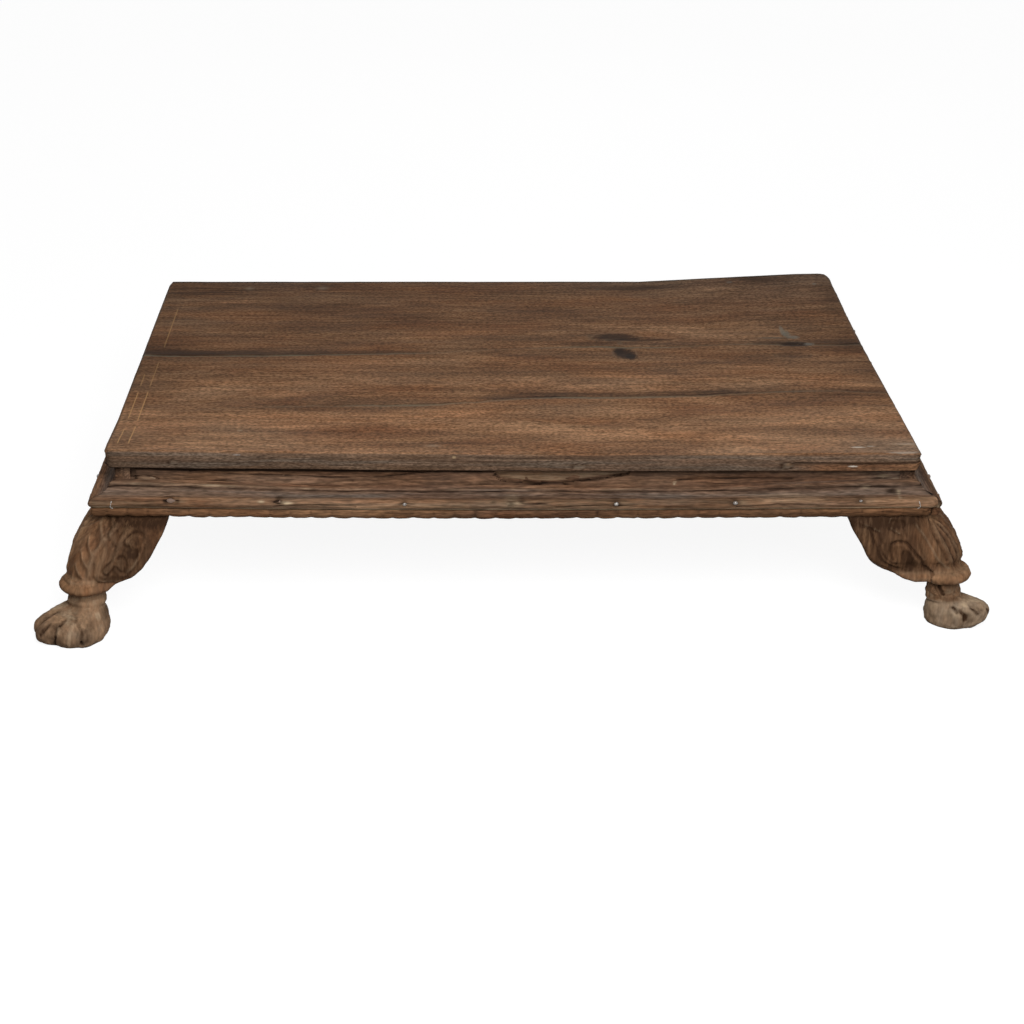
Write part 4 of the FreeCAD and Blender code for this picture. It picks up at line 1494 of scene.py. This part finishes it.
# Strokes on the paws: depth, width, darkness (paleness below zero), and points in all three directions
scroll_paw_strokes = (
    (1.2, 1.0, 0.6, ((60.7, 63.5, 16.7), (63.2, 66.6, 13.9), (66.1, 67.5, 9.9))),
    (0.8, 0.9, 0.2, ((55.0, 66.5, 17.0), (55.7, 69.0, 13.3), (55.8, 70.9, 10.2))),
    (2.4, 0.5, 1.3, ((55.8, 70.9, 9.9), (56.4, 69.7, 5.2), (56.0, 66.0, 0.5))),
    (-0.7, 1.1, -0.28, (
        (41.4, 61.5, 18.4), (43.0, 64.3, 17.2), (44.2, 68.5, 13.1), (45.2, 70.4, 6.9), (45.5, 69.0, 2.0),
    )),
    (-0.8, 1.0, -0.4, ((52.5, 66.0, 17.2), (53.0, 69.5, 12.0), (53.2, 70.0, 5.0))),
    (1.2, 1.0, 0.5, ((38.5, 60.5, 17.0), (35.4, 63.7, 13.7), (36.2, 65.8, 9.0), (35.6, 64.5, 3.8))),
    (0.9, 2.4, 0.4, ((33.2, 62.5, 13.6), (31.1, 62.5, 9.9), (32.0, 63.3, 5.9))),
    (0.9, 0.9, 0.5, ((49.4, 58.5, 19.6), (50.9, 61.9, 18.6), (52.0, 65.3, 17.2))),
    (0.9, 0.9, 0.5, ((41.4, 55.8, 20.4), (40.8, 59.6, 19.2))),
    (-0.5, 1.0, -0.4, ((48.0, 54.1, 20.5), (42.5, 56.4, 20.3))),
    (2.0, 0.5, 1.2, ((35.8, 66.0, 6.4), (36.0, 64.5, 0.5))),
    (1.3, 1.6, 0.6, ((58.0, 48.0, 21.0), (63.0, 54.0, 18.5), (67.5, 58.5, 13.5), (68.5, 60.0, 8.0))),
)
leaf_paw_strokes = (
    (1.6, 2.8, 0.35, ((42.8, 38.4, 10.6), (44.4, 39.6, 6.8))),
    (1.6, 2.6, 0.45, ((55.0, 40.2, 11.0), (57.4, 40.6, 7.2))),
    (1.4, 2.6, 0.3, ((63.5, 39.4, 14.0), (65.8, 39.5, 11.2))),
    (1.4, 2.4, 0.45, ((59.6, 35.0, 18.8), (62.0, 35.6, 17.0))),
    (1.2, 0.9, 0.7, ((45.5, 36.2, 18.3), (46.6, 37.1, 17.2), (47.8, 38.4, 15.0))),
    (1.3, 0.9, 0.8, ((50.2, 37.9, 16.4), (51.2, 38.9, 14.8), (53.1, 39.7, 12.7), (53.8, 40.0, 9.0))),
    (1.1, 0.9, 0.6, ((57.6, 37.0, 17.6), (58.5, 38.0, 16.8), (60.5, 39.0, 14.0))),
    (1.0, 0.9, 0.6, ((68.4, 34.0, 15.5), (69.2, 34.3, 14.1), (71.6, 34.6, 10.9))),
    (1.2, 0.8, 0.9, ((32.9, 30.0, 33.7), (35.5, 31.4, 30.7), (37.7, 33.0, 27.4))),
)


def evaluated(holder):
    """The mesh that an object's modifiers or curve make, with the object taken away."""
    bpy.context.view_layer.update()
    mesh = bpy.data.meshes.new_from_object(holder.evaluated_get(bpy.context.evaluated_depsgraph_get()))
    bpy.data.objects.remove(holder)
    return mesh


def remeshed(node):
    """A node's own solid, joined up and divided into small even faces for carving."""
    bm = bmesh.new()
    bm.from_mesh(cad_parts[node].data)
    bmesh.ops.remove_doubles(bm, verts=bm.verts, dist=0.000001)
    holder = link(bpy.data.objects.new(node, to_mesh(bm, node)))
    even = holder.modifiers.new("even", "REMESH")
    even.mode = "VOXEL"
    even.voxel_size = leg_voxel * MM
    even.use_smooth_shade = True
    mesh = evaluated(holder)
    bm = bmesh.new()
    bm.from_mesh(mesh)
    axes = {"use_axis_x": True, "use_axis_y": True, "use_axis_z": True}
    for _ in range(2):
        bmesh.ops.smooth_vert(bm, verts=bm.verts, factor=0.5, **axes)
    bm.to_mesh(mesh)
    bm.free()
    mesh.materials.clear()
    return mesh


class Leg:
    """A leg's points in millimetres, and what the carver does to each: its lift and its tones."""

    def __init__(self, corner):
        self.sign_x, self.sign_y = corners[corner]
        design, self.traded = leg_designs[corner]
        self.leaf = design == "leaf"
        self.seed = list(corners).index(corner) * 29 + 3
        self.mesh = remeshed("leg_" + corner)
        self.points = read_vectors(self.mesh) / MM
        self.normals = read_vectors(self.mesh, "normal")
        self.normal_x = self.normals[:, 0] * self.sign_x
        self.normal_y = self.normals[:, 1] * self.sign_y
        self.out_x = out_x = self.sign_x * self.points[:, 0] - (long_run - leg_inset)
        self.out_y = out_y = self.sign_y * self.points[:, 1] - (short_run - leg_inset)
        self.z = z = self.points[:, 2]
        self.lift, self.dark, self.pale, self.grey = np.zeros((4, len(z)))

        # Each outer face has the same carving, mirrored at the outer corner
        levels = np.arange(paw_level + 2, skin_top, 2.0)
        reach_x = [out_x[np.abs(z - level) < 2].max() for level in levels]
        reach_y = [out_y[np.abs(z - level) < 2].max() for level in levels]
        even_y = out_y * np.interp(z, levels, reach_x) / np.interp(z, levels, reach_y)
        self.on_front = even_y > out_x
        self.along = np.where(self.on_front, out_x, even_y)
        self.across = np.where(self.on_front, even_y, out_x)
        facing = np.where(self.on_front, self.normal_y, self.normal_x)

        # Where the thigh, its two outer faces, the ruff's rim, the ankle and the paw are
        skin = smooth_step(skin_top + 1, skin_top - 1, z)
        self.thigh = smooth_step(ruff_level - 3, ruff_level + 1, z) * skin
        self.face = smooth_step(0.05, 0.45, facing) * smooth_step(ruff_level - 24, ruff_level - 14, z) * skin
        self.rim = self.face * smooth_step(18, 30, out_x + out_y)
        self.neck = smooth_step(19, 22, z) * smooth_step(35, 33, z)
        self.paw = smooth_step(paw_level + 1, paw_level - 2, z)

    def noise(self, pitch, number):
        return noise(self.points, pitch, self.seed + number)

    def fractal(self, pitch, number):
        return fractal(self.points, pitch, self.seed + number)


def carve_feathers(leg):
    """Feathers that lie round the outer corner, up to a ridge on each side."""
    z, along, across = leg.z, leg.along, leg.across
    heights, edges = np.array(feather_edge).T
    edge = np.interp(z, heights, edges)
    from_corner = np.degrees(np.arctan2(across, np.maximum(along, 0.1))) - 45
    inward = 1 - np.clip(from_corner / edge, 0, 1)
    inside = smooth_step(1.15, 0.85, from_corner / edge) * leg.thigh * (across > 5) * (along > 2)
    inside = inside * np.where(leg.on_front, 1.0, 0.45)
    phase = (z - feather_rise * inward**1.2) / feather_pitch + 0.15 * leg.noise(9, 2)
    part = phase - np.floor(phase)
    trough = np.sin(np.pi * np.clip(part / 0.8, 0, 1)) ** 1.3
    crest = bell(part, 0.9, 0.11)
    leg.lift += inside * (0.45 * crest - 1.05 * trough)
    # Painted shade in the troughs and painted highlights on the crests
    leg.dark += inside * 0.26 * trough * smooth_step(0.2, 0.7, part)
    leg.pale += inside * 0.16 * crest
    past_edge = (from_corner - edge) / edge * 9.0
    ridge = bell(past_edge, 0.6, 1.5) * leg.thigh * (along > 2)
    leg.lift += 0.8 * ridge
    # A painted highlight on the ridge, and a line of painted shade just past it
    leg.pale += 0.15 * ridge
    leg.dark += 0.14 * bell(past_edge, 3.0, 0.8) * leg.thigh


def carve_strokes(leg):
    """The leaf or the scrolls of both outer faces."""
    wobble = 0.4 * np.stack([leg.noise(7, 0), leg.noise(7, 1)], axis=1)
    flat = np.stack([leg.along, leg.z], axis=1) + wobble
    # How dark the cuts are painted: dirt and painted shade. Ridges, bulbs and step edges are painted paler:
    # wear and painted highlight.
    dirt_and_shade = 0.24 + 0.14 * leg.noise(6, 20)
    cut = 1.0 if leg.leaf else 0.85
    for kind, strength, width, line in leaf_strokes if leg.leaf else scroll_strokes:
        reach = width * 4 + 2
        off, hand, _ = distance_to(flat, smooth_line(line, 5), reach=reach)
        close = leg.face * (off < reach)
        if kind == "groove":
            leg.lift -= close * cut * strength * bell(off, 0, width * 0.9)
            leg.lift += close * 0.3 * strength * bell(off, width * 2.6, width * 1.2)
            leg.dark += close * dirt_and_shade * strength * bell(off, 0, width * 0.6)
            leg.pale += close * 0.06 * bell(off, width * 1.9, width * 0.6)
        elif kind == "ridge":
            leg.lift += close * strength * bell(off, 0, width)
            leg.pale += close * 0.4 * strength * bell(off, 0, width)
        elif kind == "bulb":
            leg.lift += close * 0.5 * strength * smooth_step(width + 1.3, width - 1.1, off)
            leg.pale += close * 0.08 * smooth_step(width, width - 1, off)
        elif kind == "hollow":
            leg.lift -= close * 1.2 * strength * bell(off, 0, width, 4)
            leg.dark += close * dirt_and_shade * bell(off, 0, width)
        else:
            signed = off * np.sign(hand)
            fall = np.exp(-np.maximum(signed, 0) / width)
            leg.lift += close * strength * smooth_step(-0.5, 0.5, signed) * fall
            leg.dark += close * dirt_and_shade * bell(signed, -0.9, 0.7)
            if strength > 1.05:
                torn = smooth_step(-0.3, 0.3, leg.noise(4, 3))
                leg.pale += close * 0.8 * bell(signed, 0.5, 0.6) * torn


def carve_paw(leg):
    """The roped ankle, the toes' cuts and the faceted paw."""
    z = leg.z
    rope = np.sin(np.arctan2(leg.out_y - 21, leg.out_x - 21) * 7 + z * 0.55)
    leg.lift += leg.neck * (0.35 * rope + 0.55 * leg.fractal((6, 6, 3.5), 4))
    leg.dark += leg.neck * 0.15 * smooth_step(0.1, 0.8, leg.fractal((5, 5, 3), 5))
    leg.pale += leg.neck * (0.06 + 0.26 * smooth_step(0.0, 0.7, leg.fractal((6, 6, 3), 17)))
    solid = columns(leg.out_y, leg.out_x, z) if leg.traded else columns(leg.out_x, leg.out_y, z)
    # The paw's cuts are painted dark, dirt and painted shade; its raised strokes are painted pale, wear and
    # painted highlight
    for depth, width, stain, line in leaf_paw_strokes if leg.leaf else scroll_paw_strokes:
        off = distance_to(solid, smooth_line(line, 5), reach=width * 3 + 3)[0]
        shape = bell(np.maximum(off - 0.6, 0), 0, width)
        leg.lift -= depth * shape
        leg.dark += 0.95 * max(stain, 0) * shape
        leg.pale += 0.8 * max(-stain, 0) * shape
    leg.lift += leg.paw * (0.55 * leg.fractal((11, 11, 8), 6) + 0.25 * leg.fractal(3.5, 7))
    # Painted light on the paw's upward faces, in patches, through the grey and pale masks
    upward = smooth_step(0.0, 0.7, leg.normals[:, 2])
    leg.grey += leg.paw * (0.10 + 0.5 * smooth_step(0.0, 0.7, leg.noise((9, 9, 6), 8)) * upward)
    leg.pale += leg.paw * (0.06 + 0.46 * smooth_step(0.1, 0.7, leg.noise(7, 9)) * upward)
    leg.dark += leg.paw * 0.38 * smooth_step(0.2, 0.8, leg.noise(8, 10))
    leg.dark += 0.5 * smooth_step(2.0, 0.0, z)


def wear_leg(leg):
    """Hand-cut surface, wear on what stands out, some dirt, and painted shade and light: shade in the
    creases by the ruff, on faces turned inwards, on the inner side and under the frame; light on the ruff's
    roll and the paws.
    """
    z, out_x, thigh, neck = leg.z, leg.out_x, leg.thigh, leg.neck
    fibre = 0.16 * leg.fractal((2.6, 2.6, 30), 11) + 0.10 * leg.noise((1.9, 1.9, 7), 12)
    leg.lift += smooth_step(skin_top + 3, skin_top - 1, z) * (fibre + 0.35 * leg.fractal((16, 16, 13), 13))
    ruff = bell(z, 40, 6)
    leg.pale += ruff * 0.14 * smooth_step(0, 0.8, leg.noise((8, 8, 5), 14))
    leg.lift += ruff * 0.4 * leg.fractal((9, 9, 5), 15)
    # A painted shadow line in the crease under the ruff
    leg.dark += 0.6 * smooth_step(1.2, 0.0, np.abs(z - 34.4)) * (leg.normals[:, 2] < 0.3)
    leg.dark += 0.10 + 0.12 * leg.noise(26, 16)
    # Painted shade on the thigh's faces that turn inwards
    leg.dark += 0.15 * smooth_step(0.2, -0.6, np.maximum(leg.normal_x, leg.normal_y)) * thigh
    # The thigh is darker towards its inner side: painted shade. The leaf legs' thighs are darker all over,
    # dirt and painted shade. The paws are painted paler, partly their own tone and partly painted light.
    if leg.leaf:
        leg.dark += (0.38 + 0.24 * smooth_step(36, 0, out_x)) * thigh + 0.2 * neck
        leg.grey += 0.3 * smooth_step(70, 88, z) * smooth_step(14, 4, out_x) + 0.6 * leg.paw
        leg.pale += 0.25 * leg.paw
    else:
        leg.dark += 0.58 * smooth_step(34, 6, out_x) * thigh - 0.12 * neck
        leg.pale += 0.16 * neck + 0.12 * leg.paw
    # Painted shade high on the inner side, where the frame shades the thigh
    leg.dark += 0.62 * smooth_step(skin_top - 11, skin_top, z) * smooth_step(34, 4, out_x)
    # A line of painted shade in the crease above the ruff's roll, and a painted highlight on the roll
    leg.dark += 0.16 * bell(z, 50.0, 1.0) * leg.rim
    leg.pale += 0.14 * bell(z, 46.0, 1.6) * leg.rim


def round_leg(leg):
    """Fuller thigh and ruff, and a narrower or thicker ankle, than the plain solid has."""
    z = leg.z
    below = smooth_step(0.25, -0.5, leg.normal_x) * bell(z, 55, 9) * smooth_step(40, 10, leg.out_x)
    if leg.leaf:
        leg.lift += 3.4 * below + 1.4 * bell(z, 42.0, 3.0) - 2.4 * bell(z, 50.5, 3.4) * leg.face
        leg.lift -= 2.0 * bell(z, 34.0, 3.0) + 1.2 * bell(z, 26.0, 3.5)
    else:
        leg.lift += 1.6 * below + 1.9 * bell(z, 38.5, 3.2) + 1.0 * bell(z, 28.0, 4.0)
        leg.lift += (0.6 * bell(z, 50.0, 2.4) - 1.8 * bell(z, 43.5, 1.8)) * leg.rim


def posed_leg(leg):
    """The carved points, drawn in under the frame, with the paw as it points in the photo."""
    x, y, z = (leg.points + leg.normals * leg.lift[:, None]).T
    outs = [leg.out_x, leg.out_y]
    inset = (2.2 if leg.leaf else 4.2) * smooth_step(58, 94, leg.z)
    low_down = smooth_step(26, 16, leg.z)
    shift = -2.5 * (smooth_step(40, 60, leg.out_x) if leg.leaf else smooth_step(46, 60, leg.out_x))
    x -= leg.sign_x * inset * smooth_step(-4, 18, leg.out_x)
    y -= leg.sign_y * inset * smooth_step(-4, 18, leg.out_y)
    z = np.where(leg.z < 0.5, leg.z, np.maximum(z, 0.15))
    if leg.leaf:
        x += leg.sign_x * 8.0 * smooth_step(30, 5, leg.out_x) * smooth_step(25, 14, leg.z)
        side, sign, run = (y, leg.sign_y, short_run) if leg.traded else (x, leg.sign_x, long_run)
        far = sign * side - (run - leg_inset)
        side -= sign * np.maximum(far - np.interp(leg.z, *leaf_reach), 0)
        toes = smooth_step(44, 68, outs[1] if leg.traded else outs[0])
        side += sign * 3.6 * bell(leg.z, 15, 6) * toes
        z = z + 2.6 * toes * smooth_step(9, 1, leg.z)
    else:
        shift = shift + 6.5 * smooth_step(52, 30, leg.out_x)
        x += leg.sign_x * 1.6 * smooth_step(55, 72, leg.out_x) * low_down
    y += leg.sign_y * shift * smooth_step(24, 60, leg.out_y) * low_down
    return columns(x, y, z)


def build_leg(corner):
    leg = Leg(corner)
    if not leg.leaf:
        carve_feathers(leg)
    carve_strokes(leg)
    carve_paw(leg)
    wear_leg(leg)
    round_leg(leg)
    low, high = span("leg_" + corner)
    moved = np.clip(posed_leg(leg), low - leg_spare, high + leg_spare)
    lean = 0.06 * leg.z
    wood = columns(leg.z, leg.out_x - leg.sign_x * lean + leg.seed * 40, leg.out_y - leg.sign_y * lean)
    tones = {"dark": leg.dark, "pale": leg.pale, "grey": leg.grey, "wood": wood}
    node = "leg_" + corner
    place(leg.mesh, node + "_carved", leg_wood, [node], "leg_wood", moved, crease=180, **tones)


build_board()
for side_name in sides:
    build_rail(side_name)
    build_moulding(side_name)
    build_petal_strip(side_name)
    build_nails(side_name)
    build_wires(side_name)
    build_pegs(side_name)
build_patch()
for corner_name in corners:
    build_leg(corner_name)


# Plain parts that keep their own shape


def dress(node, material):
    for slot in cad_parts[node].material_slots:
        slot.material = material


for name in ("batten_left", "batten_right"):
    dress(name, hidden_wood)
for name in ("batten_nails_left", "batten_nails_right"):
    dress(name, dark_iron)
dress("top_dowels", peg_wood)


# Studio


def seen_directly(tree):
    """1 for what the camera or a reflection sees, 0 for the light that falls on the table."""
    seen = add(tree, "ShaderNodeLightPath", "Is Camera Ray")
    rays = seen.socket.node.outputs
    for name in ("Is Glossy Ray", "Is Transmission Ray"):
        seen = calc("MAXIMUM", seen, Pattern(rays[name]))
    return seen


def build_studio():
    """A pale floor that shows white but keeps the table's soft shadow, and soft lamps."""
    bm = bmesh.new()
    bmesh.ops.create_grid(bm, x_segments=2, y_segments=2, size=6.0)
    floor = link(bpy.data.objects.new("floor", to_mesh(bm, "floor")))
    material, tree, shader = new_material("floor_white")
    connect(shader, {"Base Color": (0.16, 0.16, 0.16, 1), "Roughness": 0.9, "Specular IOR Level": 0.1})
    glow = {"Color": (1, 1, 1, 1), "Strength": seen_directly(tree) * 0.91}
    lights = {0: Pattern(shader.outputs[0]), 1: add(tree, "ShaderNodeEmission", 0, glow)}
    connect(tree.nodes["Material Output"], {"Surface": add(tree, "ShaderNodeAddShader", 0, lights)})
    floor.data.materials.append(material)

    world = bpy.data.worlds.new("studio")
    bpy.context.scene.world = world
    world.use_nodes = True
    glow = {"Color": (1, 1, 1, 1), "Strength": seen_directly(world.node_tree) * 0.74 + 0.26}
    connect(world.node_tree.nodes["Background"], glow)

    lamps = (
        ("key", (0.08, -1.05, 0.88), 0.6, 15.5),
        ("fill", (0.9, -1.5, 0.45), 0.9, 5.0),
        ("rim", (0.2, 1.4, 1.0), 1.0, 1.2),
    )
    for name, where, size, power in lamps:
        light = bpy.data.lights.new(name, "AREA")
        light.size = size
        light.energy = power
        lamp = link(bpy.data.objects.new(name, light))
        lamp.location = where
        aim = Vector((0, 0, 0.1)) - Vector(where)
        lamp.rotation_euler = aim.to_track_quat("-Z", "Y").to_euler()


# How far the table stands left of the picture's middle, and the picture's width, in pixels
picture_shift = 60
picture_width = 1024
# Degrees that the camera looks down
camera_tilt = 24.254


def build_camera():
    """Above and in front of the table, a little left of its middle."""
    data = bpy.data.cameras.new("camera")
    data.sensor_width = 36.0
    data.lens = 75.0
    data.shift_x = picture_shift / picture_width
    data.clip_start = 0.05
    data.clip_end = 30.0
    camera = link(bpy.data.objects.new("camera", data))
    camera.location = (-0.0464, -1.6419, 0.7378)
    camera.rotation_euler = (math.radians(90 - camera_tilt), 0, 0)
    bpy.context.scene.camera = camera


build_studio()
build_camera()
bpy.context.scene.view_settings.view_transform = "Standard"
